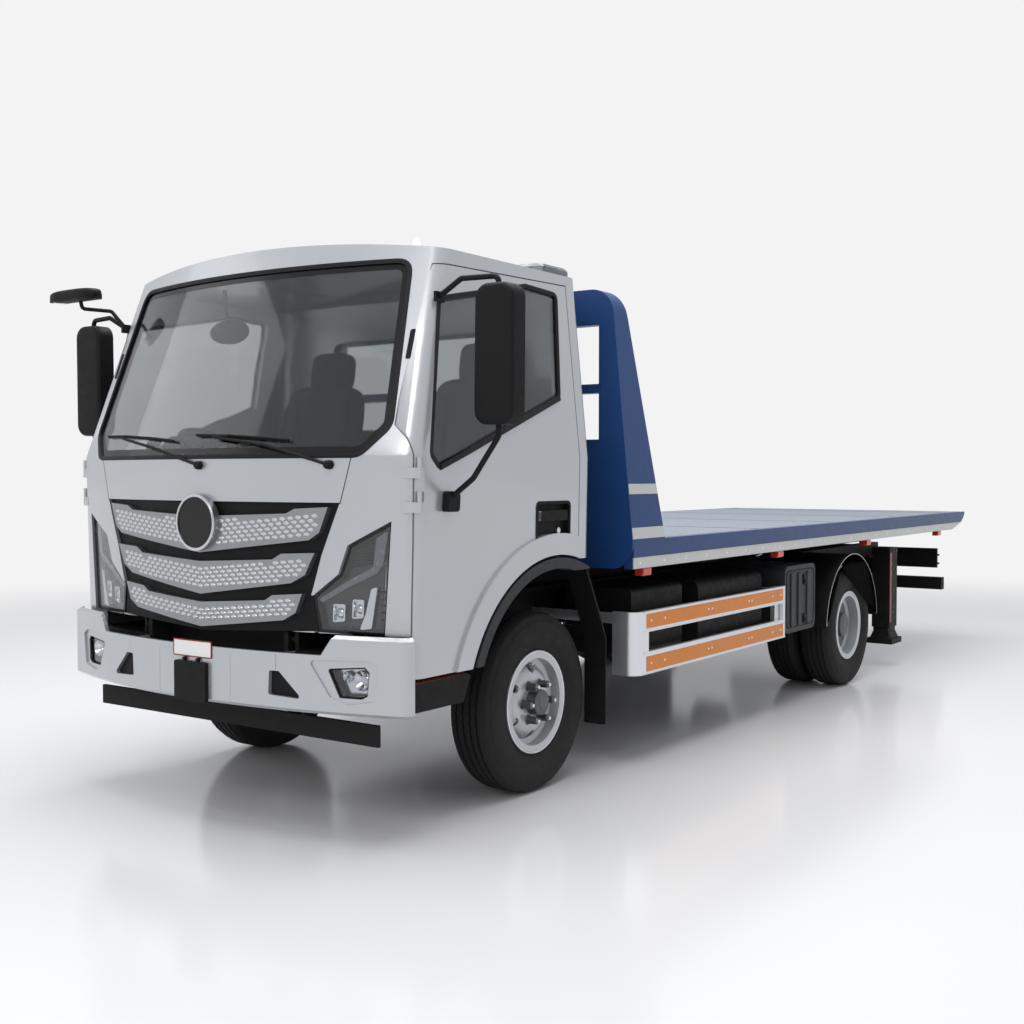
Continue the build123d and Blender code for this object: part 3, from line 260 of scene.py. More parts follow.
DECK_STEEL = Finish("worn_deck_plate", (0.20, 0.245, 0.31), (0.30, 0.32, 0.345), (0.34, 0.55), 0.35, 0.0,
                    (5.0, 0.6), (2.0, 0.15), (160.0, 0.0006), slot="deck_steel")
SEAT_CLOTH = Finish("grey_seat_cloth", (0.055, 0.055, 0.06), (0.08, 0.08, 0.085), (0.8, 0.95), 0.0, 0.0,
                    (12.0, 0.4), (0.5, 0.0), (1400.0, 0.0008), slot="seat_fabric")
BRIGHT = Finish("satin_chrome", (0.66, 0.67, 0.69), (0.58, 0.59, 0.61), (0.16, 0.26), 1.0, 0.2, (6.0, 0.3),
                (0.8, 0.05), (600.0, 0.00005), slot="grille_chrome")
BAR_SATIN = Finish("satin_grille_bar", (0.30, 0.31, 0.32), (0.27, 0.28, 0.29), (0.32, 0.40), 0.9, 0.2,
                   (3.0, 0.3), (0.8, 0.02), (900.0, 0.00004))
CELL_BRIGHT = Finish("bright_grille_cell", (0.62, 0.63, 0.65), (0.55, 0.56, 0.58), (0.18, 0.26), 1.0, 0.2,
                     (6.0, 0.3), (0.8, 0.02), (900.0, 0.00004), slot="grille_chrome")
ARCH_GREY = Finish("dark_grey_arch_plastic", (0.020, 0.022, 0.024), (0.028, 0.029, 0.031), (0.40, 0.52), 0.0,
                   0.0, (8.0, 0.5), (0.7, 0.05), (700.0, 0.0004), specular=0.25)
GUARD_METAL = Finish("guard_aluminium", (0.60, 0.61, 0.62), (0.53, 0.54, 0.55), (0.3, 0.42), 0.8, 0.0,
                     (7.0, 0.3), (0.8, 0.08), (500.0, 0.0001), slot="guard_aluminium")
RUBBER_SEAL = Finish("black_window_rubber", (0.007, 0.007, 0.008), (0.010, 0.010, 0.010), (0.4, 0.55), 0.0,
                     0.0, (9.0, 0.4), (0.7, 0.03), (500.0, 0.0003), specular=0.2)
LAMP_BOWL = Finish("bright_lamp_bowl", (0.80, 0.81, 0.83), (0.7, 0.71, 0.74), (0.08, 0.14), 1.0,
                   slot="lamp_clear")
LAMP_GUIDE = Finish("frosted_light_guide", (0.24, 0.25, 0.265), (0.20, 0.21, 0.22), (0.2, 0.3), 0.3, 0.3,
                    slot="lamp_clear")
LAMP_AMBER = Finish("amber_lamp_lens", (0.62, 0.17, 0.01), (0.52, 0.13, 0.01), (0.15, 0.25), 0.0, 0.4,
                    slot="lamp_red")
LAMP_GREY = Finish("smoked_lamp_back", (0.060, 0.063, 0.067), (0.05, 0.052, 0.055), (0.18, 0.28), 0.5, 0.3,
                   slot="lamp_clear")
BEACON_SMOKE = Finish("smoked_beacon_lens", (0.22, 0.235, 0.25), (0.18, 0.19, 0.20), (0.10, 0.2), 0.0, 0.5,
                      slot="lamp_clear")
ORANGE_BAND = Finish("orange_reflective_band", (0.62, 0.190, 0.008), (0.52, 0.155, 0.008), (0.3, 0.42), 0.0,
                     0.2, (14.0, 0.6), (0.8, 0.04), (900.0, 0.0001), specular=0.3, slot="lamp_red")
SILVER_BAND = Finish("silver_reflective_band", (0.52, 0.53, 0.52), (0.44, 0.44, 0.43), (0.3, 0.45), 0.4, 0.2,
                     (10.0, 0.6), (1.1, 0.08), (900.0, 0.0001), slot="guard_aluminium")
RED_BAND = Finish("red_reflective_band", (0.22, 0.013, 0.010), (0.16, 0.013, 0.010), (0.3, 0.45), 0.0, 0.2,
                  specular=0.3, slot="lamp_red")
PLATE_WHITE = Finish("blank_plate_white", (0.72, 0.72, 0.71), (0.66, 0.66, 0.64), (0.35, 0.45),
                     slot="silver_paint")
STEP_GRIT = Finish("gritty_step_red", (0.16, 0.032, 0.018), (0.07, 0.02, 0.014), (0.7, 0.9), 0.0, 0.0,
                   (30.0, 0.8), (0.9, 0.1), (700.0, 0.0015), specular=0.2, slot="lamp_red")
MIRROR_GLASS = Finish("mirror_glass", (0.75, 0.77, 0.78), (0.7, 0.72, 0.74), (0.02, 0.04), 1.0,
                      slot="grille_chrome")
DARK_STEEL = Finish("dark_bolt_steel", (0.10, 0.105, 0.11), (0.17, 0.17, 0.17), (0.35, 0.5), 0.8, 0.0,
                    (20.0, 0.6), (0.8, 0.1), (500.0, 0.0004), slot="cast_iron")
CABLE_STEEL = Finish("galvanised_cable", (0.30, 0.30, 0.30), (0.20, 0.19, 0.18), (0.4, 0.55), 0.8, 0.0,
                     (40.0, 0.6), (0.5, 0.1), (900.0, 0.0008), slot="cast_iron")
TRIM_WHITE = Finish("white_edge_trim", (0.66, 0.66, 0.65), (0.56, 0.56, 0.54), (0.35, 0.5),
                    slot="silver_paint")
DOME_WHITE = Finish("frosted_white_dome", (0.74, 0.75, 0.76), (0.68, 0.69, 0.70), (0.2, 0.3), 0.0, 0.4,
                    slot="lamp_clear")

NODE_FINISH: dict[str, Finish] = {
    "chassis_frame": CHASSIS_BLACK, "front_bumper": SILVER, "bumper_lip": TRIM_BLACK, "fog_lamps": LAMP_CLEAR,
    "engine_block": CAST_IRON, "axle_beams": CAST_IRON,
    "leaf_springs": CHASSIS_BLACK, "cab_steps": TRIM_BLACK,
    "tool_boxes": ARCH_GREY, "tanks": CHASSIS_BLACK, "side_guards": GUARD_METAL, "mudguards": TRIM_BLACK,
    "leg_sleeves": CHASSIS_BLACK, "rear_underrun": CHASSIS_BLACK, "tail_lamps": LAMP_RED,
    "knuckle_left": CAST_IRON, "knuckle_right": CAST_IRON, "tie_rod": CAST_IRON,
    "cab_front": SILVER, "cab_rear": SILVER, "cab_roof": SILVER, "cab_glass": CABIN_GLASS,
    "headlights": LAMP_CLEAR, "grille": TRIM_BLACK, "grille_bars": BAR_SATIN, "cab_floor": CHASSIS_BLACK,
    "wheel_arches": ARCH_GREY, "seats": SEAT_CLOTH, "dashboard": TRIM_BLACK, "steering_wheel": TRIM_BLACK,
    "door_left": SILVER, "door_right": SILVER,
    "door_glass_left": CABIN_GLASS, "door_glass_right": CABIN_GLASS,
    "mirror_left": TRIM_BLACK, "mirror_right": TRIM_BLACK, "tilt_frame": CHASSIS_BLACK,
    "slide_barrel": CHASSIS_BLACK, "tilt_barrels": CHASSIS_BLACK, "tilt_rods": BRIGHT,
    "deck_runners": CHASSIS_BLACK, "deck_beams": CHASSIS_BLACK, "deck_plate": DECK_STEEL, "deck_rails": BLUE,
    "headboard": BLUE,
    "light_bar": LAMP_CLEAR, "marker_lamps": LAMP_RED, "winch_frame": CHASSIS_BLACK, "slide_rod": BRIGHT,
    "winch_drum": CAST_IRON, "leg_left": CHASSIS_BLACK, "leg_right": CHASSIS_BLACK,
    "front_tyre_left": TYRE_RUBBER, "front_tyre_right": TYRE_RUBBER, "rear_tyres_left": TYRE_RUBBER,
    "rear_tyres_right": TYRE_RUBBER, "front_wheel_left": WHEEL_SILVER, "front_wheel_right": WHEEL_SILVER,
    "rear_wheels_left": WHEEL_SILVER, "rear_wheels_right": WHEEL_SILVER,
}


class SmoothShade:
    """A modifier tree that joins loose triangles and smooths all but the sharp edges."""

    def __init__(self, sharp: float = 32.0) -> None:
        """Makes the tree.

        Args:
            sharp: the angle, in degrees, past which an edge stays sharp.
        """
        self.tree = tree = bpy.data.node_groups.new("smooth_but_sharp", "GeometryNodeTree")
        made = open_sockets(tree, [("Geometry", "Geometry"), ("Sharp", "Float")], [("Geometry", "Geometry")])
        made["Sharp"].default_value = math.radians(sharp)
        given = tree.nodes.new("NodeGroupInput").outputs
        merge = add_node(tree, "GeometryNodeMergeByDistance",
                         {"Distance": MERGE, "Geometry": given["Geometry"]})
        faces = add_node(tree, "GeometryNodeSetShadeSmooth", {"Geometry": merge.outputs[0]}, domain="FACE")
        angle = add_node(tree, "GeometryNodeInputMeshEdgeAngle", {})
        test = add_node(tree, "FunctionNodeCompare", {"A": angle.outputs["Unsigned Angle"],
                                                      "B": given["Sharp"]}, data_type="FLOAT",
                        operation="GREATER_THAN")
        edges = add_node(tree, "GeometryNodeSetShadeSmooth",
                         {"Shade Smooth": False, "Geometry": faces.outputs[0], "Selection": test.outputs[0]},
                         domain="EDGE")
        add_node(tree, "NodeGroupOutput", {0: edges.outputs[0]})

    def put_on(self, thing: bpy.types.Object) -> None:
        """Adds the modifier to an object."""
        thing.modifiers.new("smooth_but_sharp", "NODES").node_group = self.tree


# Outlines and the surfaces that they are laid on

Surface = Callable[[float, float, float], Point]


def oblong(a0: float, a1: float, b0: float, b1: float) -> list[Flat]:
    """The corners of a rectangle, from its sides."""
    return [(a0, b0), (a1, b0), (a1, b1), (a0, b1)]


def circle(centre: Flat, across: float, up: float, count: int) -> list[Flat]:
    """A circle or an oval with the given half sizes."""
    turns = [2 * math.pi * k / count for k in range(count)]
    return [(centre[0] + across * math.cos(t), centre[1] + up * math.sin(t)) for t in turns]


def rounded(points: Sequence[Flat], radius: float, steps: int = 6) -> list[Flat]:
    """Rounds every corner of a closed outline.

    Args:
        points: the outline's corners.
        radius: the radius of each corner, made less where a side is short.
        steps: how many sides each corner gets.

    Returns:
        The rounded outline, with the same count for any radius.
    """
    found: list[Flat] = []
    count = len(points)
    for i, corner in enumerate(points):
        before, after = Vector(points[i - 1]), Vector(points[(i + 1) % count])
        here = Vector(corner)
        back, ahead = before - here, after - here
        half = back.angle(ahead) / 2
        reach = min(radius / math.tan(half), back.length * 0.45, ahead.length * 0.45)
        start, end = here + back.normalized() * reach, here + ahead.normalized() * reach
        for k in range(steps + 1):
            t = k / steps
            spot = start * (1 - t) ** 2 + here * 2 * t * (1 - t) + end * t ** 2
            found.append((spot.x, spot.y))
    return found


def shifted(points: Sequence[Flat], amount: float) -> list[Flat]:
    """Moves every side of a closed outline inwards, or outwards where the amount is negative.

    Args:
        points: the outline's corners.
        amount: how far each side moves.

    Returns:
        The new corners.
    """
    area = sum(a[0] * b[1] - b[0] * a[1] for a, b in zip(points, [*points[1:], points[0]]))
    turn = 1.0 if area > 0 else -1.0
    found: list[Flat] = []
    for i, corner in enumerate(points):
        here = Vector(corner)
        d0 = (here - Vector(points[i - 1])).normalized()
        d1 = (Vector(points[(i + 1) % len(points)]) - here).normalized()
        n0, n1 = Vector((-d0.y, d0.x)) * turn, Vector((-d1.y, d1.x)) * turn
        middle = (n0 + n1).normalized()
        spot = here + middle * (amount / max(middle.dot(n0), 0.35))
        found.append((spot.x, spot.y))
    return found


def loops(points: Sequence[Flat], radius: float, amounts: Sequence[float],
          step: float = 0.05) -> list[list[Flat]]:
    """Makes matching loops of one outline at several insets.

    Args:
        points: the outline's corners.
        radius: the corner radius at no inset.
        amounts: the inset of each loop.
        step: the longest side left undivided.

    Returns:
        One loop for each inset, all with the same count of points.
    """
    rows = [rounded(shifted(points, a), max(radius - a, 0.002)) for a in amounts]
    found: list[list[Flat]] = [[] for _ in rows]
    for i in range(len(rows[0])):
        after = (i + 1) % len(rows[0])
        span = (Vector(rows[0][after]) - Vector(rows[0][i])).length
        parts = max(1, math.ceil(span / step))
        for row, out in zip(rows, found):
            a, b = Vector(row[i]), Vector(row[after])
            for k in range(parts):
                spot = a.lerp(b, k / parts)
                out.append((spot.x, spot.y))
    return found


@dataclass(frozen=True)
class CabSkin:
    """The cab's outer surface: its height, half width, front and corner set-back at three levels."""

    levels: tuple[tuple[float, float, float, float], ...] = ((0.628, 0.985, -1.130, 0.165),
                                                             (1.490, 1.000, -1.150, 0.177),
                                                             (2.420, 0.905, -0.822, 0.160))

    def at(self, z: float) -> tuple[float, float, float]:
        """Half width, front and set-back at a height.

        Args:
            z: the height.

        Returns:
            The three sizes.
        """
        low, high = self.levels[:2] if z <= self.levels[1][0] else self.levels[1:]
        t = (z - low[0]) / (high[0] - low[0])
        return tuple(a + (b - a) * t for a, b in zip(low[1:], high[1:]))

    def front(self, x: float, z: float, proud: float) -> Point:
        """A point on the cab's bowed front.

        Args:
            x: its place across the cab.
            z: its height.
            proud: how far it stands out.

        Returns:
            The point.
        """
        half, front, bow = self.at(z)
        half, front = half + proud, front - proud
        radius = (half * half + bow * bow) / (2 * bow)
        return (x, along(front + radius - math.sqrt(max(radius * radius - x * x, 0.01))), z)

    def side(self, sign: int) -> Surface:
        """The surface of one side, as a function of y, z and how proud."""
        return lambda y, z, proud: (sign * (self.at(z)[0] + proud), along(y), z)


SKIN = CabSkin()


def bumper_front(x: float, z: float, proud: float) -> Point:
    """A point on the bumper's bowed face.

    Args:
        x: its place across the bumper.
        z: its height.
        proud: how far it stands out.

    Returns:
        The point.
    """
    half, bow = BUMPER_HALF + proud, BUMPER_BOW
    radius = (half * half + bow * bow) / (2 * bow)
    return (x, along(BUMPER_FRONT - proud + radius - math.sqrt(radius * radius - x * x)), z)


def upright(x: float) -> Surface:
    """A flat surface that faces sideways at the given X, outwards by its sign."""
    return lambda y, z, proud: (x + math.copysign(proud, x), along(y), z)


def level(height: float) -> Surface:
    """A flat surface that faces up at a height, as a function of x and y."""
    return lambda x, y, proud: (x, along(y), height + proud)


def facing_back(y: float) -> Surface:
    """A flat surface that faces the rear, as a function of x and z."""
    return lambda x, z, proud: (x, along(y) + proud, z)


# Mesh making

def settle(name: str, mesh: bpy.types.Mesh, finish: Finish, body: str, slot: str) -> bpy.types.Object:
    """Makes an object of a finished mesh and puts it on its body.

    Args:
        name: the piece's name.
        mesh: its mesh.
        finish: the finish that the whole piece gets.
        body: the body that it rides on.
        slot: not used; a slot name, or nothing for the finish's own.

    Returns:
        The new object.
    """
    mesh.materials.clear()
    mesh.materials.append(finish.build())
    thing = bpy.data.objects.new(name, mesh)
    bpy.context.scene.collection.objects.link(thing)
    mesh.polygons.foreach_set("use_smooth", [True] * len(mesh.polygons))
    mesh.set_sharp_from_angle(angle=math.radians(35))
    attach(thing, body)
    slot = slot or finish.slot
    LOG.info("%s: %d faces", name, len(mesh.polygons))
    return thing


class Piece:
    """One piece in the making: closed forms are added to its mesh until it is done."""

    def __init__(self, name: str, finish: Finish, body: str, slot: str = "") -> None:
        """Starts with an empty mesh.

        Args:
            name: the piece's name.
            finish: the finish that the whole piece gets.
            body: the body that it rides on.
            slot: a slot name, where it isn't the finish's own.
        """
        self.name, self.finish, self.body, self.slot = name, finish, body, slot
        self.work = bmesh.new()

    def done(self) -> bpy.types.Object:
        """Merges the mesh, turns its faces outwards and makes the object.

        Returns:
            The new object.
        """
        bmesh.ops.remove_doubles(self.work, verts=self.work.verts, dist=MERGE)
        bmesh.ops.recalc_face_normals(self.work, faces=self.work.faces)
        mesh = bpy.data.meshes.new(self.name)
        self.work.to_mesh(mesh)
        self.work.free()
        return settle(self.name, mesh, self.finish, self.body, self.slot)

    def join_rows(self, rows: Sequence[Sequence[bmesh.types.BMVert]], around: bool) -> None:
        """Adds the faces between closed rows of points.

        Args:
            rows: the rows, all with the same count.
            around: whether the last row joins the first.
        """
        pairs = list(zip(rows, rows[1:])) + ([(rows[-1], rows[0])] if around else [])
        for row, after in pairs:
            for k in range(len(row)):
                nxt = (k + 1) % len(row)
                corners = (after[k], after[nxt], row[nxt])
                self.work.faces.new((row[k], *(corners if around else reversed(corners))))

    def spin(self, profile: Sequence[Flat], centre: Point, steps: int,
             shift: Callable[[int, int], float] | None = None, axis: str = "X") -> None:
        """Turns a closed profile of (along the axis, radius).

        Args:
            profile: points as distance along the axis and radius.
            centre: the centre of the turn.
            steps: how many steps go round.
            shift: moves a point along the axis, from its place in the profile and its step.
            axis: the axis of the turn, X, Y or Z.
        """
        rings = []
        for step in range(steps):
            turn = 2 * math.pi * step / steps
            ring = []
            for place, (across, radius) in enumerate(profile):
                moved = across + (shift(place, step) if shift else 0.0)
                a, b = radius * math.cos(turn), radius * math.sin(turn)
                spot = {"X": (moved, a, b), "Y": (b, moved, a), "Z": (a, b, moved)}[axis]
                ring.append(self.work.verts.new(tuple(c + d for c, d in zip(centre, spot))))
            rings.append(ring)
        self.join_rows(rings, True)

    def ring(self, outer: Sequence[Flat], inner: Sequence[Flat], surface: Surface, low: float,
             high: float) -> None:
        """Adds a closed band between two matching loops laid on a surface.

        Args:
            outer: the outer loop.
            inner: the inner loop.
            surface: where the band lies.
            low: how proud its back is.
            high: how proud its face is.
        """
        rows = [[self.work.verts.new(surface(*spot, height))
                 for spot, height in ((a, low), (a, high), (b, high), (b, low))]
                for a, b in zip(outer, inner)]
        self.join_rows(rows, True)

    def plate(self, outline: Sequence[Flat], surface: Surface, low: float, high: float,
              step: float = 0.06) -> None:
        """Adds a closed plate of an outline laid on a surface.

        Args:
            outline: its outline.
            surface: where it lies.
            low: how proud its back is.
            high: how proud its face is.
            step: the spacing of the cuts that let it follow the surface.
        """
        flat = bmesh.new()
        flat.faces.new([flat.verts.new((a, b, 0.0)) for a, b in outline])
        for k, way in enumerate((ALONG_X, ALONG_Y)):
            values = [point[k] for point in outline]
            place = min(values) + step
            while place < max(values) - 0.001:
                bmesh.ops.bisect_plane(flat, geom=[*flat.verts, *flat.edges, *flat.faces],
                                       plane_co=[place * c for c in way], plane_no=way)
                place += step
        bmesh.ops.triangulate(flat, faces=flat.faces)
        top = {v: self.work.verts.new(surface(v.co.x, v.co.y, high)) for v in flat.verts}
        under = {v: self.work.verts.new(surface(v.co.x, v.co.y, low)) for v in flat.verts}
        for face in flat.faces:
            self.work.faces.new([top[v] for v in face.verts])
            self.work.faces.new([under[v] for v in reversed(face.verts)])
        for edge in flat.edges:
            if len(edge.link_faces) == 1:
                a, b = edge.verts
                self.work.faces.new((top[a], top[b], under[b], under[a]))
        flat.free()

    def tube(self, points: Sequence[Point], radius: float, sides: int = 12) -> None:
        """Adds a round bar along points, with closed ends.

        Args:
            points: the bar's middle line.
            radius: its radius.
            sides: how many sides it has.
        """
        spots = [Vector(p) for p in points]
        across = (spots[1] - spots[0]).orthogonal().normalized()
        rows, last = [], None
        for i, spot in enumerate(spots):
            ahead = (spots[min(i + 1, len(spots) - 1)] - spots[max(i - 1, 0)]).normalized()
            if last is not None:
                across = last.rotation_difference(ahead) @ across
            last = ahead
            turns = [Quaternion(ahead, 2 * math.pi * k / sides) for k in range(sides)]
            rows.append([self.work.verts.new(spot + turn @ across * radius) for turn in turns])
        self.join_rows(rows, False)
        self.work.faces.new(rows[0])
        self.work.faces.new(list(reversed(rows[-1])))

    def block(self, low: Point, high: Point, edge: float = 0.003, segments: int = 2) -> None:
        """Adds a block with bevelled edges.

        Args:
            low: its lowest corner.
            high: its highest corner.
            edge: the width of the bevel.
            segments: how many steps the bevel has.
        """
        place = Matrix.Translation([(a + b) / 2 for a, b in zip(low, high)])
        size = Matrix.Diagonal([*(abs(b - a) for a, b in zip(low, high)), 1.0])
        made = bmesh.ops.create_cube(self.work, size=1.0, matrix=place @ size)["verts"]
        edges = list(dict.fromkeys(e for v in made for e in v.link_edges))
        bmesh.ops.bevel(self.work, geom=edges, offset=edge, segments=segments, affect="EDGES", profile=0.5)

    def pillow(self, centre: Point, half: Point, lean: float, square: float = 0.32,
               welt: float = 0.0) -> None:
        """Adds a crowned cushion, a rounded block that swells between its seams.

        Args:
            centre: its middle.
            half: its half sizes.
            lean: its lean about X, in degrees.
            square: how square it is, from 0 for a block to 1 for an egg.
            welt: the depth of the two seams along it.
        """
        levels, sides, seam_at, seam_width = 24, 48, 0.62, 0.012
        turn = Matrix.Rotation(math.radians(lean), 4, "X")
        power = lambda v: math.copysign(abs(v) ** square, v)
        rows = []
        for i in range(levels + 1):
            b = -math.pi / 2 + math.pi * i / levels
            row = []
            for k in range(sides):
                a = 2 * math.pi * k / sides
                spot = Vector((half[0] * power(math.cos(b)) * power(math.cos(a)),
                               half[1] * power(math.cos(b)) * power(math.sin(a)),
                               half[2] * power(math.sin(b))))
                dip = welt * sum(math.exp(-((spot.x - s * half[0] * seam_at) / seam_width) ** 2)
                                 for s in (-1, 1))
                spot.z -= math.copysign(dip, spot.z) if abs(spot.z) > half[2] * 0.5 else 0.0
                row.append(self.work.verts.new(turn @ spot + Vector(centre)))
            rows.append(row)
        self.join_rows(rows, False)


class Studs:
    """A Geometry Nodes tree that puts one small tapered form on every point of a set."""

    def __init__(self) -> None:
        """Builds the tree with its named inputs."""
        self.tree = tree = bpy.data.node_groups.new("studs_on_points", "GeometryNodeTree")
        made = open_sockets(tree, [("Geometry", "Geometry"), ("Sides", "Int"), ("Foot Radius", "Float"),
                                   ("Top Radius", "Float"), ("Height", "Float"), ("Stretch", "Vector"),
                                   ("Material", "Material")], [("Geometry", "Geometry")])
        self.socket = {label: item.identifier for label, item in made.items()}
        given = tree.nodes.new("NodeGroupInput").outputs
        form = add_node(tree, "GeometryNodeMeshCone",
                        {"Vertices": given["Sides"], "Radius Bottom": given["Foot Radius"],
                         "Radius Top": given["Top Radius"], "Depth": given["Height"]})
        turn: dict[str | int, Any] = {}
        for name, axis, pivot in (("facing", "Z", "AUTO"), ("run", "X", "Z")):
            read = add_node(tree, "GeometryNodeInputNamedAttribute", {"Name": name},
                            data_type="FLOAT_VECTOR")
            align = add_node(tree, "FunctionNodeAlignRotationToVector",
                             {"Vector": read.outputs["Attribute"], **turn}, axis=axis, pivot_axis=pivot)
            turn = {"Rotation": align.outputs["Rotation"]}
        place = add_node(tree, "GeometryNodeInstanceOnPoints",
                         {"Points": given["Geometry"], "Instance": form.outputs["Mesh"],
                          "Scale": given["Stretch"], **turn})
        real = add_node(tree, "GeometryNodeRealizeInstances", {"Geometry": place.outputs["Instances"]})
        paint = add_node(tree, "GeometryNodeSetMaterial",
                         {"Geometry": real.outputs[0], "Material": given["Material"]})
        add_node(tree, "NodeGroupOutput", {0: paint.outputs[0]})

    def lay(self, name: str, points: Sequence[tuple[Point, Point]], run: Point, sides: int, radii: Flat,
            height: float, finish: Finish, body: str, slot: str = "",
            stretch: Point = (1.0, 1.0, 1.0)) -> None:
        """Makes one plain mesh with a stud on every point.

        Args:
            name: the piece's name.
            points: each stud's foot and the way that it faces.
            run: the direction that the studs' first axis follows.
            sides: how many sides a stud has.
            radii: its radius at the foot and at the top.
            height: how far it stands out.
            finish: its finish.
            body: the body that the piece rides on.
            slot: a slot name, where it isn't the finish's own.
            stretch: its scale along its own axes.
        """
        cloud = bpy.data.meshes.new(name + "_points")
        cloud.from_pydata([spot for spot, _ in points], [], [])
        for label, rows in (("facing", [way for _, way in points]), ("run", [run] * len(points))):
            layer = cloud.attributes.new(label, "FLOAT_VECTOR", "POINT")
            layer.data.foreach_set("vector", [c for row in rows for c in row])
        holder = bpy.data.objects.new(name + "_points", cloud)
        bpy.context.scene.collection.objects.link(holder)
        modifier = holder.modifiers.new("studs", "NODES")
        modifier.node_group = self.tree
        for label, value in (("Sides", sides), ("Foot Radius", radii[0]), ("Top Radius", radii[1]),
                             ("Height", height), ("Stretch", stretch), ("Material", finish.build())):
            modifier[self.socket[label]] = value
        holder.update_tag()
        view = bpy.context.evaluated_depsgraph_get()
        mesh = bpy.data.meshes.new_from_object(holder.evaluated_get(view))
        mesh.name = name
        bpy.data.objects.remove(holder)
        settle(name, mesh, finish, body, slot)


STUDS = Studs()


@dataclass
class Tyre:
    """A road tyre: moulded side walls, shoulder ribs and zigzag tread grooves."""

    outer: float = 0.402
    half: float = 0.1075
    bead: float = 0.2038
    steps: int = 120
    groove: float = 0.009
    zigzag: float = 0.0028

    def profile(self) -> list[Flat]:
        """The section from the left bead round the tread to the right bead and back inside.

        Returns:
            Points as (across, radius).
        """
        side = [(0.077, self.bead), (0.082, 0.222), (0.084, 0.236), (0.092, 0.252), (0.0985, 0.268),
                (0.1005, 0.269), (0.1035, 0.285), (0.1045, 0.286), (0.107, 0.303), (self.half, 0.315),
                (0.1065, 0.333), (0.1035, 0.352), (0.1045, 0.354), (0.099, 0.366), (0.0955, 0.372),
                (0.094, 0.384), (0.088, 0.392)]
        tread: list[Flat] = []
        for centre in (0.052, 0.0175):
            tread += [(centre + 0.006, self.outer), (centre + 0.004, self.outer - self.groove),
                      (centre - 0.004, self.outer - self.groove), (centre - 0.006, self.outer)]
        right = side + tread
        left = [(-x, r) for x, r in reversed(right)]
        inside = [(-0.055, self.bead), (-0.078, 0.25), (-0.092, 0.305), (-0.072, 0.37), (0.072, 0.37),
                  (0.092, 0.305), (0.078, 0.25), (0.055, self.bead)]
        return right + left + inside

    def wheel_set(self, name: str, centres: Sequence[float], y: float, body: str) -> bpy.types.Object:
        """Makes the tyres of one wheel set.

        Args:
            name: the piece's name.
            centres: the tyres' middle planes.
            y: the axle's place.
            body: the body that they ride on.

        Returns:
            The piece.
        """
        profile = self.profile()
        wave = {i for i, (x, r) in enumerate(profile) if r > self.outer - 0.0115 and abs(x) < 0.06}
        shift = lambda place, step: (self.zigzag if step % 2 else -self.zigzag) if place in wave else 0.0
        piece = Piece(name, TYRE_RUBBER, body)
        for x in centres:
            piece.spin(profile, (x, y, AXLE_Z), self.steps, shift)
        return piece.done()

    def build(self) -> None:
        """Makes all four wheel sets' tyres in place of the plain ones."""
        for side in Side:
            s, word = side.value, side.word
            front = self.wheel_set(f"tread_front_{word}", [s * FRONT_WHEEL_X], along(0.0),
                                   f"front_wheel_{word}")
            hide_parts(f"front_tyre_{word}")
            rear = self.wheel_set(f"tread_rear_{word}", [s * REAR_WHEEL_X, s * REAR_INNER_X],
                                  along(WHEELBASE), f"rear_wheels_{word}")
            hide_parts(f"rear_tyres_{word}")


def mirrored(points: Sequence[Flat], side: int) -> list[Flat]:
    """Puts an outline on one side of the middle, by the sign given."""
    return [(side * x, z) for x, z in points]


def facing(surface: Surface, a: float, b: float, proud: float) -> tuple[Point, Point]:
    """A point on a surface and the way that the surface faces there.

    Args:
        surface: the surface.
        a: the point's first place on it.
        b: the second.
        proud: how far the point stands out.

    Returns:
        The point and the unit normal.
    """
    here = Vector(surface(a, b, proud))
    across, up = Vector(surface(a + 0.004, b, proud)) - here, Vector(surface(a, b + 0.004, proud)) - here
    normal = across.cross(up).normalized()
    if normal.dot(Vector(surface(a, b, proud + 0.01)) - here) < 0:
        normal.negate()
    return tuple(here), tuple(normal)


def inside(spot: Flat, outline: Sequence[Flat]) -> bool:
    """Whether a point lies inside a closed outline.

    Args:
        spot: the point.
        outline: the outline's corners.

    Returns:
        True where it does.
    """
    found = False
    for (x0, z0), (x1, z1) in zip(outline, [*outline[1:], outline[0]]):
        if (z0 > spot[1]) != (z1 > spot[1]) and spot[0] < x0 + (spot[1] - z0) * (x1 - x0) / (z1 - z0):
            found = not found
    return found


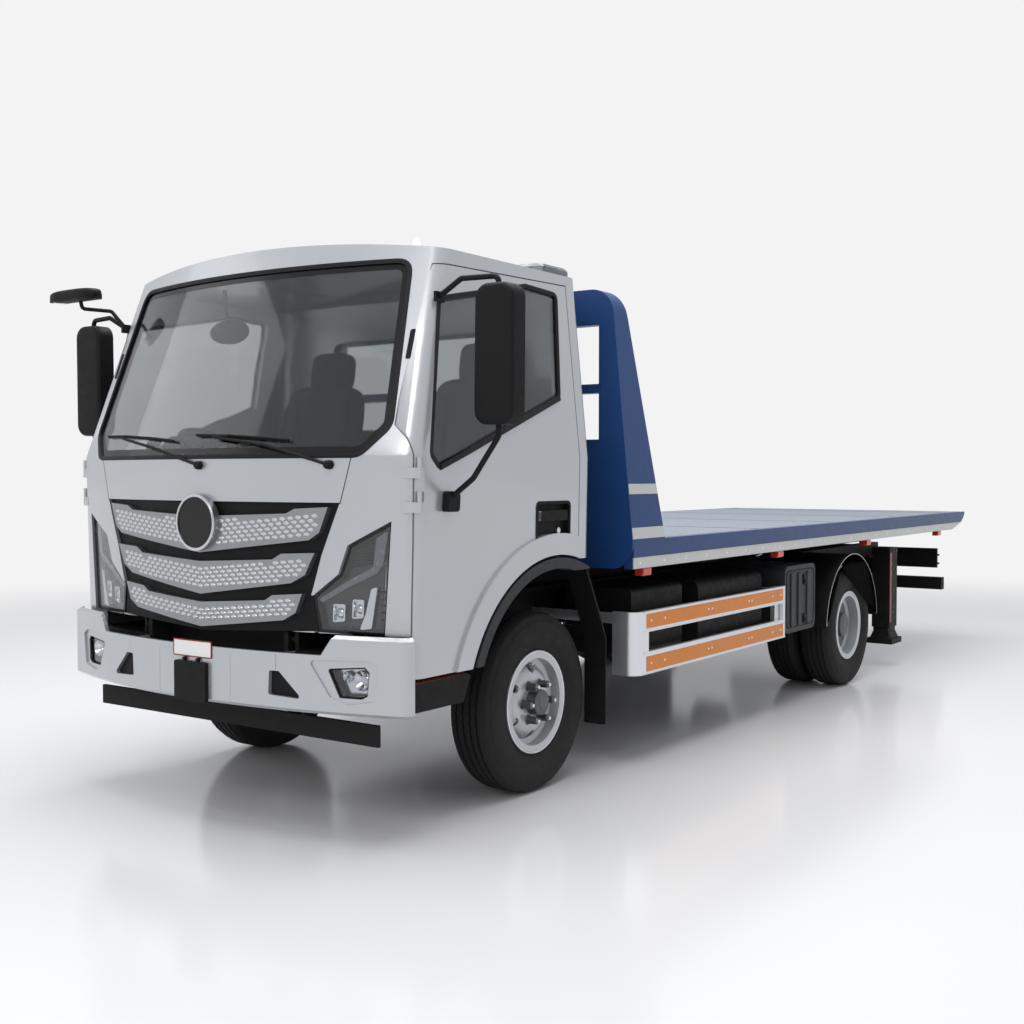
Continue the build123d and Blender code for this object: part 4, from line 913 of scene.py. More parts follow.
@dataclass(frozen=True)
class Windows:
    """Rubber seals and black printed borders round the cab's fixed and door glass."""

    screen: tuple[Flat, ...] = ((-0.780, 1.488), (0.780, 1.488), (0.878, 1.600), (0.800, 2.262),
                                (-0.800, 2.262), (-0.878, 1.600))
    rear: tuple[Flat, ...] = ((-0.600, 1.620), (0.600, 1.620), (0.570, 2.100), (-0.570, 2.100))
    door: tuple[Flat, ...] = ((-0.879, 1.490), (-0.829, 1.442), (0.055, 1.757), (0.100, 2.213),
                              (-0.140, 2.224), (-0.747, 2.102))
    belt: tuple[Flat, ...] = ((-0.824, 1.452), (-0.826, 1.431), (0.060, 1.742), (0.056, 1.764))
    seal: float = 0.011

    def border(self, name: str, outline: Sequence[Flat], radius: float, surface: Surface, body: str,
               print_width: float) -> None:
        """Lays a seal over one window's edge and a printed border on its glass.

        Args:
            name: the pieces' first word.
            outline: the window's outline.
            radius: its corner radius.
            surface: the skin that it is cut in.
            body: the body that it rides on.
            print_width: how far the black border reaches over the glass.
        """
        rim = loops(outline, radius, (-self.seal, -0.001, 0.007, print_width))
        piece = Piece(f"{name}_seal", RUBBER_SEAL, body)
        piece.ring(rim[0], rim[1], surface, -0.004, 0.0015)
        piece.ring(rim[1], rim[2], surface, -0.0078, 0.0004)
        piece.done()
        piece = Piece(f"{name}_print", GLOSS_BLACK, body, "glass")
        piece.ring(rim[1], rim[3], surface, -0.0095, -0.0072)
        piece.done()

    def build(self) -> None:
        """Makes every border and the belt mouldings."""
        self.border("windscreen", self.screen, 0.070, SKIN.front, "cab", 0.034)
        self.border("rear_window", self.rear, 0.060, facing_back(0.304), "cab", 0.022)
        for side in Side:
            body, surface = f"door_{side.word}", SKIN.side(side.value)
            self.border(f"door_window_{side.word}", self.door, 0.028, surface, body, 0.016)
            piece = Piece(f"belt_moulding_{side.word}", RUBBER_SEAL, body)
            piece.plate(self.belt, surface, -0.004, 0.006)
            piece.done()


@dataclass(frozen=True)
class Grille:
    """Raised cells on the bright grille bars, and the blank round shield in its rim."""

    bars: tuple[tuple[Flat, ...], ...] = (
        ((0.0, 1.244), (0.463, 1.262), (0.503, 1.281), (0.652, 1.289), (0.612, 1.190), (0.565, 1.160),
         (0.0, 1.096)),
        ((0.0, 1.060), (0.392, 1.080), (0.435, 1.104), (0.590, 1.111), (0.545, 1.024), (0.479, 0.990),
         (0.0, 0.926)),
        ((0.0, 0.893), (0.351, 0.917), (0.388, 0.939), (0.530, 0.950), (0.499, 0.875), (0.440, 0.843),
         (0.0, 0.792)))
    pitch: float = 0.037
    row_share: float = 0.46
    rows: int = 40
    slope: float = 0.095
    margin: float = 0.017
    plain_end: float = 0.045
    proud: float = 0.0086
    cell: Point = (0.0166, 0.0098, 0.0040)
    shield_z: float = 1.219
    shield_front: float = -1.172
    shield_room: float = 0.127
    rim: tuple[float, ...] = (0.1155, 0.111, 0.105, 0.1035)

    def spots(self) -> list[tuple[Point, Point]]:
        """The cells' feet: staggered rows that follow each bar and stop short of its plain end.

        Returns:
            Each foot with the way that it faces.
        """
        found: list[tuple[Point, Point]] = []
        for bar in self.bars:
            kept = shifted([*bar, *[(-x, z) for x, z in reversed(bar) if x > 0]], self.margin)
            far = bar[3][0] - self.plain_end
            count = int(far / self.pitch)
            for row in range(self.rows):
                for k in range(-count, count + 1):
                    x = (k + 0.5 * (row % 2)) * self.pitch
                    z = bar[-1][1] + abs(x) * self.slope + row * self.pitch * self.row_share
                    clear = math.hypot(x, z - self.shield_z) > self.shield_room
                    if abs(x) < far and inside((x, z), kept) and clear:
                        found.append(facing(SKIN.front, x, z, self.proud))
        return found

    def build(self) -> None:
        """Makes the cells, the shield's rim and its dark face."""
        STUDS.lay("grille_cells", self.spots(), ALONG_X, 6, self.cell[:2], self.cell[2], CELL_BRIGHT, "cab",
                  stretch=(1.0, 0.54, 1.0))
        rings = [circle((0.0, self.shield_z), r, r, 64) for r in self.rim]
        flat = lambda x, z, proud: (x, along(self.shield_front - proud), z)
        piece = Piece("shield_rim", BRIGHT, "cab")
        piece.ring(rings[0], rings[2], flat, -0.003, 0.001)
        piece.ring(rings[1], rings[2], flat, 0.0, 0.003)
        piece.done()
        piece = Piece("shield_face", GLOSS_BLACK, "cab")
        piece.plate(rings[3], flat, -0.0046, -0.0032)
        piece.done()


@dataclass(frozen=True)
class Headlights:
    """Lamp units behind clear covers: dark bowl, frosted guide, day strip, two projectors and fine ribs."""

    outline: tuple[Flat, ...] = ((0.590, 0.803), (0.872, 0.797), (0.904, 1.238), (0.725, 1.143),
                                 (0.684, 1.031), (0.566, 0.940))
    guide: tuple[Flat, ...] = ((0.586, 0.930), (0.712, 1.005), (0.816, 1.061), (0.832, 1.171),
                               (0.878, 1.204), (0.858, 1.081), (0.832, 1.038), (0.716, 0.981),
                               (0.602, 0.917))
    day: tuple[Flat, ...] = ((0.806, 0.975), (0.832, 0.987), (0.806, 0.824), (0.756, 0.817), (0.782, 0.878))
    units: tuple[tuple[Flat, Flat], ...] = (((0.668, 0.878), (0.026, 0.036)),
                                            ((0.748, 0.896), (0.024, 0.038)))
    rib_rows: tuple[float, float, int] = (1.052, 0.011, 9)
    side_rows: tuple[float, float, int] = (0.83, 0.026, 6)
    back: float = -0.036
    cut: float = 0.05

    def build(self) -> None:
        """Makes both lamps and hides the plain blocks that they stand for."""
        covers = Piece("lamp_covers", LAMP_CLEAR, "cab")
        for side in Side:
            s, word = side.value, side.word
            whole = mirrored(self.outline, s)
            rim = loops(whole, 0.012, (0.0015, 0.012, 0.020))
            piece = Piece(f"lamp_surround_{word}", GLOSS_BLACK, "cab")
            piece.ring(rim[0], rim[1], SKIN.front, self.back, -0.0100)
            piece.ring(rim[1], rim[2], SKIN.front, self.back, -0.0160)
            piece.done()
            covers.plate(rim[1], SKIN.front, -0.0135, -0.0105, self.cut)
            piece = Piece(f"lamp_back_{word}", LAMP_GREY, "cab")
            piece.plate(rounded(shifted(whole, 0.008), 0.01), SKIN.front, -0.038, -0.034, self.cut)
            piece.done()
            piece = Piece(f"lamp_guide_{word}", LAMP_GUIDE, "cab")
            piece.plate(rounded(mirrored(self.guide, s), 0.008), SKIN.front, self.back, -0.016, self.cut)
            piece.done()
            piece = Piece(f"lamp_bright_{word}", LAMP_BOWL, "cab")
            piece.plate(rounded(mirrored(self.day, s), 0.008), SKIN.front, self.back, -0.016, self.cut)
            for (x, z), (a, b) in self.units:
                box = mirrored([(x - a, z - b), (x + a, z - b + 0.006), (x + a + 0.004, z + b),
                                (x - a + 0.004, z + b)], s)
                frame = loops(box, 0.008, (0.0, 0.006))
                piece.ring(frame[0], frame[1], SKIN.front, self.back, -0.018)
                piece.plate(frame[1], SKIN.front, self.back, -0.031)
            piece.done()
            piece = Piece(f"lamp_lens_{word}", MIRROR_GLASS, "cab", "lamp_clear")
            for (x, z), (a, b) in self.units:
                spot, r = SKIN.front(s * x, z, -0.031), a * 0.78
                dome = [(-0.012 * math.cos(math.pi * k / 12), max(r * math.sin(math.pi * k / 12), TIP))
                        for k in range(7)]
                piece.spin([*dome, (0.003, r), (0.003, TIP)], spot, 32, axis="Y")
            piece.done()
            piece = Piece(f"lamp_ribs_{word}", GLOSS_BLACK, "cab")
            start, pitch, count = self.rib_rows
            for k in range(count):
                z = start + k * pitch
                left, right = 0.698 + (z - 1.031) * 0.37, 0.800 + (z - 1.06) * 0.1
                piece.plate([(s * left, z), (s * right, z + 0.020), (s * right, z + 0.025),
                             (s * left, z + 0.005)], SKIN.front, -0.035, -0.020, UNCUT)
            start, pitch, count = self.side_rows
            for k in range(count):
                piece.plate(oblong(s * 0.838, s * 0.866, start + k * pitch, start + 0.008 + k * pitch),
                            SKIN.front, -0.035, -0.022, UNCUT)
            piece.done()
        cover = covers.done()
        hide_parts("headlights")


@dataclass(frozen=True)
class Bumper:
    """Fog lamps, their bezels, a blank registration plate and the middle panel's seam."""

    fog: tuple[Flat, ...] = ((0.671, 0.672), (0.828, 0.685), (0.846, 0.665), (0.838, 0.575), (0.815, 0.562),
                             (0.722, 0.562))
    bulbs: tuple[Point, ...] = ((0.790, 0.628, 0.040), (0.732, 0.640, 0.022))
    number_plate: tuple[float, ...] = (-0.115, 0.115, 0.672, 0.741)
    middle_panel: tuple[float, ...] = (-0.215, 0.215, 0.507, 0.700)
    bolts: Flat = (0.04, 0.664)

    def build(self) -> None:
        """Makes the bumper's fittings."""
        lenses = Piece("fog_lenses", LAMP_CLEAR, "chassis")
        for side in Side:
            s, word = side.value, side.word
            whole = mirrored(self.fog, s)
            rim = loops(whole, 0.012, (-0.010, -0.001, 0.006, 0.014))
            piece = Piece(f"fog_bezel_{word}", TRIM_BLACK, "chassis")
            piece.ring(rim[0], rim[1], bumper_front, -0.0085, -0.0045)
            piece.ring(rim[1], rim[2], bumper_front, -0.040, -0.0055)
            piece.done()
            lenses.plate(rim[2], bumper_front, -0.014, -0.010, 0.04)
            piece = Piece(f"fog_bowl_{word}", LAMP_BOWL, "chassis")
            piece.plate(rim[1], bumper_front, -0.052, -0.046, 0.04)
            for x, z, r in self.bulbs:
                spot = bumper_front(s * x, z, -0.046)
                profile = [(0.0, r), (-0.020, r), (-0.022, r - 0.002), (-0.018, r - 0.006),
                           (-0.004, r * 0.4), (-0.012, r * 0.3), (-0.012, TIP), (0.0, TIP)]
                piece.spin(profile, spot, 32, axis="Y")
            piece.done()
        lens = lenses.done()
        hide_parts("fog_lamps")
        number_plate = oblong(*self.number_plate)
        piece = Piece("blank_plate", PLATE_WHITE, "chassis")
        piece.plate(rounded(number_plate, 0.006), bumper_front, 0.0005, 0.0035)
        piece.done()
        piece = Piece("blank_plate_edge", RED_BAND, "chassis")
        rim = loops(number_plate, 0.006, (-0.0004, 0.0045))
        piece.ring(rim[0], rim[1], bumper_front, 0.0003, 0.0042)
        piece.done()
        piece = Piece("bumper_panel_edge", SILVER, "chassis")
        rim = loops(oblong(*self.middle_panel), 0.006, (0.0, 0.004))
        piece.ring(rim[0], rim[1], bumper_front, -0.003, 0.0012)
        piece.done()
        x, z = self.bolts
        feet = [(bumper_front(side * x, z, 0.0), (0.0, -1.0, 0.0)) for side in (-1, 1)]
        STUDS.lay("plate_bolts", feet, ALONG_X, 16, (0.009, 0.007), 0.014, TRIM_BLACK, "chassis")


@dataclass(frozen=True)
class RoofAndPillars:
    """Frosted roof domes and the dark slots on the windscreen pillars."""

    dome: Point = (0.541, -0.405, 2.352)
    profile: tuple[Flat, ...] = ((-0.010, TIP), (-0.010, 0.052), (0.012, 0.052), (0.022, 0.046),
                                 (0.030, 0.030), (0.060, 0.020), (0.078, 0.011), (0.083, TIP))
    slot: tuple[Flat, ...] = ((0.874, 1.860), (0.892, 1.862), (0.886, 1.980), (0.868, 1.976))

    def build(self) -> None:
        """Makes both domes and both slots."""
        x, y, z = self.dome
        domes, slots = Piece("roof_domes", DOME_WHITE, "cab"), Piece("pillar_slots", TRIM_BLACK, "cab")
        for side in Side:
            domes.spin(self.profile, (side.value * x, along(y), z), 32, axis="Z")
            slots.plate(rounded(mirrored(self.slot, side.value), 0.006), SKIN.front, -0.004, 0.003)
        domes.done()
        slots.done()


@dataclass(frozen=True)
class Wipers:
    """Two long windscreen wipers that lie along the glass's lower edge."""

    reach: tuple[tuple[tuple[Flat, ...], ...], ...] = (
        (((0.656, 1.452), (0.605, 1.468), (0.347, 1.533), (0.069, 1.566)),
         ((-0.038, 1.577), (0.160, 1.571), (0.330, 1.560), (0.462, 1.549))),
        (((0.007, 1.452), (-0.054, 1.468), (-0.308, 1.528), (-0.560, 1.570)),
         ((-0.740, 1.585), (-0.560, 1.582), (-0.350, 1.570), (-0.178, 1.556))))
    pivot: tuple[Flat, ...] = ((-0.024, TIP), (-0.024, 0.013), (-0.018, 0.017), (0.010, 0.019), (0.010, TIP))
    low: float = 0.012
    high: float = 0.016

    def build(self) -> None:
        """Makes the arms, blades and pivots."""
        piece = Piece("wipers", TRIM_BLACK, "cab")
        for arm, blade in self.reach:
            piece.tube([SKIN.front(x, z, self.low if i < 2 else self.high) for i, (x, z) in enumerate(arm)],
                       0.0062, 10)
            piece.tube([SKIN.front(x, z, 0.007) for x, z in blade], 0.0048, 8)
            piece.tube([SKIN.front(x, z - 0.006, 0.0) for x, z in blade], 0.0036, 6)
            piece.tube([SKIN.front(*arm[-1], self.high), SKIN.front(*blade[1], self.low)], 0.0052, 8)
            piece.spin(self.pivot, SKIN.front(*arm[0], 0.0), 24, axis="Y")
        piece.done()


@dataclass(frozen=True)
class DoorFittings:
    """Black door handles in dark cups, key locks, and the mirrors' glass and frames."""

    handle: tuple[float, ...] = (-0.130, 0.080, 1.212, 1.258)
    cup: tuple[float, ...] = (-0.155, 0.105, 1.132, 1.292)
    lock: Point = (0.9705, 0.040, 1.168)
    mirror_back: float = -0.700
    panes: tuple[Flat, ...] = ((1.636, 1.880), (1.900, 2.104))
    shells: tuple[Flat, ...] = ((1.626, 1.890), (1.890, 2.114))
    wide_glass: tuple[Flat, ...] = ((-1.285, -0.930), (-1.075, -0.938), (-1.000, -0.905), (-1.285, -0.878))

    def build(self) -> None:
        """Makes the fittings of both doors."""
        for side in Side:
            s, word = side.value, side.word
            body = f"door_{word}"
            piece = Piece(f"door_handle_{word}", TRIM_BLACK, body)
            piece.plate(rounded(oblong(*self.handle), 0.014), upright(s * 0.992), -0.0095, 0.0105)
            cup = loops(oblong(*self.cup), 0.022, (-0.007, 0.001, 0.006))
            piece.ring(cup[0], cup[1], SKIN.side(s), -0.004, 0.003)
            piece.ring(cup[1], cup[2], SKIN.side(s), -0.024, 0.002)
            piece.plate(cup[1], upright(s * 0.970), -0.002, 0.0012)
            if side is Side.RIGHT:
                piece.pillow((-1.138, along(-0.906), 2.262), (0.168, 0.048, 0.030), 4.0, 0.6)
            piece.done()
            piece = Piece(f"door_lock_{word}", BRIGHT, body)
            x, y, z = self.lock
            piece.spin([(0.0, TIP), (0.0, 0.015), (s * 0.011, 0.013), (s * 0.012, TIP)],
                       (s * x, along(y), z), 32)
            piece.done()
            piece = Piece(f"mirror_glass_{word}", MIRROR_GLASS, body)
            for low, high in self.panes:
                pane = mirrored([(1.148, low), (1.282, low), (1.286, high), (1.152, high)], s)
                piece.plate(rounded(pane, 0.020), facing_back(self.mirror_back), -0.001, 0.0022)
            if side is Side.RIGHT:
                piece.plate(rounded(self.wide_glass, 0.015), level(2.238), -0.0022, 0.001)
            piece.done()
            piece = Piece(f"mirror_frame_{word}", GLOSS_BLACK, body)
            for low, high in self.shells:
                pane = loops(mirrored([(1.138, low), (1.292, low), (1.296, high), (1.142, high)], s), 0.030,
                             (0.0, 0.009))
                piece.ring(pane[0], pane[1], facing_back(self.mirror_back), -0.002, 0.0045)
            piece.done()


@dataclass(frozen=True)
class Steps:
    """Gritty tread with raised teeth on the cab steps."""

    top: float = 0.618
    teeth: tuple[int, int] = (4, 15)

    def build(self) -> None:
        """Makes both treads."""
        for side in Side:
            s, word = side.value, side.word
            piece = Piece(f"step_tread_{word}", STEP_GRIT, "chassis")
            tread = rounded(oblong(s * 0.905, s * 0.981, -0.955, -0.625), 0.006)
            piece.plate(tread, level(self.top), -0.001, 0.003)
            piece.done()
            points = [((s * (0.915 + 0.019 * row), along(-0.944 + 0.021 * k), self.top + 0.002), UPWARDS)
                      for row in range(self.teeth[0]) for k in range(self.teeth[1])]
            STUDS.lay(f"step_teeth_{word}", points, ALONG_Y, 4, (0.0085, 0.0045), 0.0055, STEP_GRIT,
                      "chassis", stretch=(1.0, 1.3, 1.0))


@dataclass(frozen=True)
class SideFittings:
    """Guard stripes, ribs and rivets, box catches, arch lines, leg strips and bolts, and tail lenses."""

    guard_x: float = 1.037
    stripes: tuple[Flat, ...] = ((0.453, 0.527), (0.664, 0.735))
    guard_y: Flat = (0.742, 2.416)
    ribs: tuple[Flat, ...] = ((0.440, 0.550), (0.646, 0.748))
    rib_y: Flat = (0.712, 2.444)
    rivets: tuple[float, ...] = (0.790, 0.930, 1.420, 1.460, 1.930, 1.970, 2.260, 2.380)
    arch_lines: tuple[Point, ...] = ((1.0495, 0.4795, 0.0016), (1.0495, 0.4655, 0.0012))
    arch_foot: float = 0.432
    lid: tuple[float, ...] = (2.478, 2.912, 0.484, 0.834)
    lid_x: float = 1.032
    catches: tuple[Flat, ...] = ((0.735, 0.800), (0.500, 0.556))
    leg_strip: tuple[float, ...] = (4.476, 4.512, 0.330, 0.838)
    tail_y: float = 5.950

    def arch(self, side: Side) -> None:
        """Makes one mudguard's two white edge lines.

        Args:
            side: the mudguard's side.
        """
        s = side.value
        piece = Piece(f"arch_line_{side.word}", TRIM_WHITE, "chassis")
        for x, r, wide in self.arch_lines:
            turns = [math.radians(-3.0 + 186.0 * k / 72) for k in range(73)]
            outer, inner = ([(WHEELBASE + size * math.cos(t), AXLE_Z + size * math.sin(t)) for t in turns]
                            for size in (r + wide, r - wide))
            outline = [p for p in [*outer, *reversed(inner)] if p[1] > self.arch_foot]
            piece.plate(outline, upright(s * x), -0.0005, 0.0016, UNCUT)
        piece.done()

    def build(self) -> None:
        """Makes the fittings of both sides."""
        for side in Side:
            s, word = side.value, side.word
            x = s * self.guard_x
            piece = Piece(f"guard_stripes_{word}", ORANGE_BAND, "chassis")
            for low, high in self.stripes:
                piece.plate(oblong(*self.guard_y, low, high), upright(x), -0.0005, 0.0012, UNCUT)
            piece.done()
            piece = Piece(f"guard_ribs_{word}", GUARD_METAL, "chassis")
            for low, high in self.ribs:
                for z in (low + 0.003, high - 0.008):
                    piece.plate(oblong(*self.rib_y, z, z + 0.005), upright(x), -0.0005, 0.0030, UNCUT)
            piece.done()
            heads = [((x + s * 0.001, along(y), z), (s, 0.0, 0.0)) for z in (0.490, 0.700)
                     for y in self.rivets]
            STUDS.lay(f"guard_rivets_{word}", heads, ALONG_Y, 12, (0.0065, 0.0035), 0.003, GUARD_METAL,
                      "chassis")
            self.arch(side)
            piece = Piece(f"box_catches_{word}", TRIM_BLACK, "chassis")
            lid = loops(oblong(*self.lid), 0.040, (0.0, 0.007))
            piece.ring(lid[0], lid[1], upright(s * self.lid_x), -0.002, 0.003)
            for low, high in self.catches:
                catch = rounded(oblong(2.728, 2.768, low, high), 0.008)
                piece.plate(catch, upright(s * self.lid_x), -0.002, 0.012)
                piece.spin([(0.0, TIP), (0.0, 0.011), (s * 0.006, 0.009), (s * 0.007, TIP)],
                           (s * 1.043, along(2.748), low + 0.022), 20)
            piece.done()
            piece = Piece(f"leg_strip_{word}", RED_BAND, "chassis")
            piece.plate(rounded(oblong(*self.leg_strip), 0.004), upright(s * 1.0), -0.0005, 0.0025, UNCUT)
            piece.done()
            heads = [((s * 1.0, along(y), z), (s, 0.0, 0.0)) for y in (4.545, 4.615)
                     for z in (0.40, 0.56, 0.72, 0.85)]
            STUDS.lay(f"leg_bolts_{word}", heads, ALONG_Y, 6, (0.010, 0.0095), 0.006, DARK_STEEL, "chassis")
            piece = Piece(f"tail_lens_{word}", LAMP_RED, "chassis")
            for low in (0.604, 0.704, 0.804):
                block = oblong(s * low, s * (low + 0.092), 0.696, 0.794)
                piece.plate(rounded(block, 0.010), facing_back(self.tail_y), -0.001, 0.006)
            piece.done()
            piece = Piece(f"tail_amber_{word}", LAMP_AMBER, "chassis")
            outline = rounded(oblong(s * 0.708, s * 0.792, 0.716, 0.774), 0.008)
            piece.plate(outline, facing_back(self.tail_y + 0.006), -0.002, 0.001)
            piece.done()


@dataclass(frozen=True)
class Deck:
    """Silver side strips with rivets, headboard bands and edging, floor seams, grip strip and lamp lenses."""

    front: float = 0.579
    top: float = 1.100
    strip: tuple[Flat, ...] = ((0.593, 0.9635), (5.912, 0.9635), (6.125, 1.0085), (6.170, 1.0165),
                               (0.593, 1.0165))
    bands: tuple[Flat, ...] = ((1.320, 1.369), (1.106, 1.160))
    side_lamps: tuple[float, ...] = (0.690, 2.316, 3.848, 5.506)
    sheet: float = 1.22
    slot_pitch: float = 0.8
    columns: tuple[Flat, ...] = ((-0.862, -0.310), (-0.262, 0.262), (0.310, 0.862))
    storeys: tuple[Flat, ...] = ((1.583, 1.806), (1.850, 2.133))
    beacons: tuple[Flat, ...] = ((-0.672, -0.362), (-0.356, -0.132), (0.132, 0.356), (0.362, 0.672))

    def strips(self, side: Side) -> None:
        """Makes one side's silver strip, its rivets and the headboard's silver bands.

        Args:
            side: the side.
        """
        s, word = side.value, side.word
        piece = Piece(f"deck_strip_{word}", SILVER_BAND, "deck")
        piece.plate(self.strip, upright(s * 1.043), -0.0005, 0.0045, UNCUT)
        piece.done()
        heads = [((s * 1.0475, along(0.66 + 0.24 * k), 0.990), (s, 0.0, 0.0)) for k in range(23)]
        STUDS.lay(f"deck_rivets_{word}", heads, ALONG_Y, 12, (0.0075, 0.0035), 0.0028, GUARD_METAL, "deck")
        piece = Piece(f"headboard_bands_{word}", SILVER_BAND, "deck")
        for low, high in self.bands:
            depth = [0.905 - (z - 1.1) * 0.191 / 1.065 for z in (low, high)]
            wide = lambda z: 1.050 - (z - 1.1) * 0.105 / 1.065
            face = lambda y, z, proud: (s * (wide(z) + proud), along(y), z)
            piece.plate([(self.front + 0.003, low), (depth[0] - 0.003, low), (depth[1] - 0.003, high),
                         (self.front + 0.003, high)], face, -0.0008, 0.0015, UNCUT)
        piece.done()
        piece = Piece(f"side_lenses_{word}", LAMP_RED, "deck")
        for y in self.side_lamps:
            lens = rounded(oblong(y + 0.006, y + 0.084, 0.929, 0.958), 0.006)
            piece.plate(lens, upright(s * 1.040), -0.001, 0.005)
        piece.done()

    def floor(self) -> None:
        """Makes the floor's sheet seams, the grip strip at its front and the tie slots' rims."""
        piece = Piece("deck_seams", DARK_STEEL, "deck", "deck_steel")
        for k in range(1, 5):
            y = 0.925 + k * self.sheet
            piece.plate(oblong(-0.996, 0.996, y - 0.004, y + 0.004), level(self.top), -0.0005, 0.0011, UNCUT)
        piece.done()
        holes = [((-0.93 + 0.031 * k + 0.0155 * (row % 2), along(0.952 + 0.027 * row), self.top - 0.0002),
                  UPWARDS) for row in range(4) for k in range(60)]
        STUDS.lay("deck_front_grip", holes, ALONG_X, 10, (0.0105, 0.0075), 0.003, DECK_STEEL, "deck")
        piece = Piece("tie_slot_rims", GUARD_METAL, "deck")
        for side in Side:
            for k in range(6):
                y = 1.300 + k * self.slot_pitch
                slot = loops(oblong(side.value * 0.919, side.value * 0.941, y, y + 0.08), 0.010,
                             (-0.009, -0.0006))
                piece.ring(slot[0], slot[1], level(self.top), -0.0008, 0.0022)
        piece.done()

    def headboard(self) -> None:
        """Makes the headboard's window edging."""
        piece = Piece("headboard_edging", BLUE, "deck")
        face = lambda x, z, proud: (x, along(self.front - proud), z)
        for x0, x1 in self.columns:
            for z0, z1 in self.storeys:
                edge = loops(oblong(x0, x1, z0, z1), 0.004, (-0.012, -0.0006))
                piece.ring(edge[0], edge[1], face, -0.001, 0.0025)
        piece.done()

    def lights(self) -> None:
        """Makes the light bar's smoked lens blocks and its middle panel."""
        piece = Piece("beacon_lenses", BEACON_SMOKE, "deck")
        for low, high in self.beacons:
            outermost = max(abs(low), abs(high)) > 0.6
            outline = rounded(oblong(low, high, 0.347, 0.638), 0.066 if outermost else 0.004)
            piece.plate(outline, level(2.384), -0.006, 0.0185, 0.08)
        piece.done()
        piece = Piece("beacon_middle", GLOSS_BLACK, "deck")
        piece.block((-0.128, along(0.346), 2.3715), (0.128, along(0.639), 2.4215), 0.010, 3)
        piece.done()

    def build(self) -> None:
        """Makes everything on the deck."""
        for side in Side:
            self.strips(side)
        self.floor()
        self.headboard()
        self.lights()


@dataclass(frozen=True)
class Winch:
    """Steel rope wound on the winch drum."""

    radius: float = 0.0042
    layers: int = 2
    drum: float = 0.0503
    half: float = 0.158
    axis: Flat = (0.810, 1.215)

    def build(self) -> None:
        """Makes the closely wound rope as rings that lie against each other."""
        piece = Piece("winch_rope", CABLE_STEEL, "winch_drum")
        for layer in range(self.layers):
            wound = self.drum + self.radius + layer * self.radius * 1.74
            turns = [math.pi * k / 4 for k in range(8)]
            profile = [(self.radius * math.cos(t), wound + self.radius * math.sin(t)) for t in turns]
            x = -self.half + layer * self.radius
            while x < self.half:
                piece.spin(profile, (x, along(self.axis[0]), self.axis[1]), 40)
                x += self.radius * 2.02
        piece.done()


@dataclass(frozen=True)
class WheelSize:
    """What differs between front and rear wheels: centre, nut face, nut height, valve reach and hub cap."""

    x: float
    y: float
    face: float
    nut: float
    valve: float
    cap: tuple[Flat, ...]


@dataclass(frozen=True)
class WheelFittings:
    """Dark hub caps, wheel nuts, bright flange lines and valves."""

    front: WheelSize = WheelSize(FRONT_WHEEL_X, along(0.0), 0.0745, 0.0485, 0.0622, (
        (0.062, 0.0600), (0.1184, 0.0566), (0.1244, 0.0486), (0.1252, 0.0300), (0.1290, 0.0270),
        (0.1290, TIP), (0.10, TIP), (0.062, 0.04)))
    rear: WheelSize = WheelSize(REAR_WHEEL_X, along(WHEELBASE), -0.0445, 0.0305, 0.0385, (
        (0.022, 0.0825), (0.0584, 0.0785), (0.0666, 0.0664), (0.0672, 0.0400), (0.0700, 0.0380),
        (0.0700, TIP), (0.05, TIP), (0.022, 0.06)))
    nuts: int = 6
    nut_circle: float = 0.087
    valve_circle: float = 0.176
    flange: tuple[Flat, ...] = ((0.0908, 0.2288), (0.0924, 0.2268), (0.0924, 0.2232), (0.0908, 0.2214))

    def wheel(self, size: WheelSize, s: int, body: str) -> None:
        """Makes the fittings of one wheel set.

        Args:
            size: the front or the rear sizes.
            s: the side, by its sign.
            body: the body that they ride on.
        """
        x, y, centre = s * size.x, size.y, (0.0, size.y, AXLE_Z)
        outward = (float(s), 0.0, 0.0)
        piece = Piece(f"hub_cap_{body}", DARK_STEEL, body)
        piece.spin([(x + s * a, r) for a, r in size.cap], centre, 48)
        piece.done()
        turns = [math.radians(360 / self.nuts * k) for k in range(self.nuts)]
        spots = [(y + self.nut_circle * math.cos(t), AXLE_Z + self.nut_circle * math.sin(t)) for t in turns]
        for name, lift, sides, radii, height, finish, slot in (
                ("nut_seats", 0.0, 20, (0.0225, 0.0200), 0.005, DARK_STEEL, ""),
                ("nut_caps", 0.0, 6, (0.0172, 0.0168), size.nut, DARK_STEEL, ""),
                ("stud_tips", size.nut, 16, (0.0098, 0.0082), 0.011, BRIGHT, "wheel_steel")):
            feet = [((x + s * size.face + s * lift, *spot), outward) for spot in spots]
            STUDS.lay(f"{name}_{body}", feet, ALONG_Y, sides, radii, height, finish, body, slot)
        piece = Piece(f"flange_line_{body}", BRIGHT, body)
        piece.spin([(x + s * a, r) for a, r in self.flange], centre, 96)
        piece.done()
        piece = Piece(f"valve_{body}", BRIGHT, body)
        turn, r = math.radians(100.0), self.valve_circle
        spot = Vector((x + s * 0.030, y + r * math.cos(turn), AXLE_Z + r * math.sin(turn)))
        piece.tube([tuple(spot), tuple(spot + Vector((s * size.valve, 0.0, 0.0)))], 0.0045, 10)
        piece.done()

    def build(self) -> None:
        """Makes the fittings of all four wheel sets."""
        for side in Side:
            self.wheel(self.front, side.value, f"front_wheel_{side.word}")
            self.wheel(self.rear, side.value, f"rear_wheels_{side.word}")


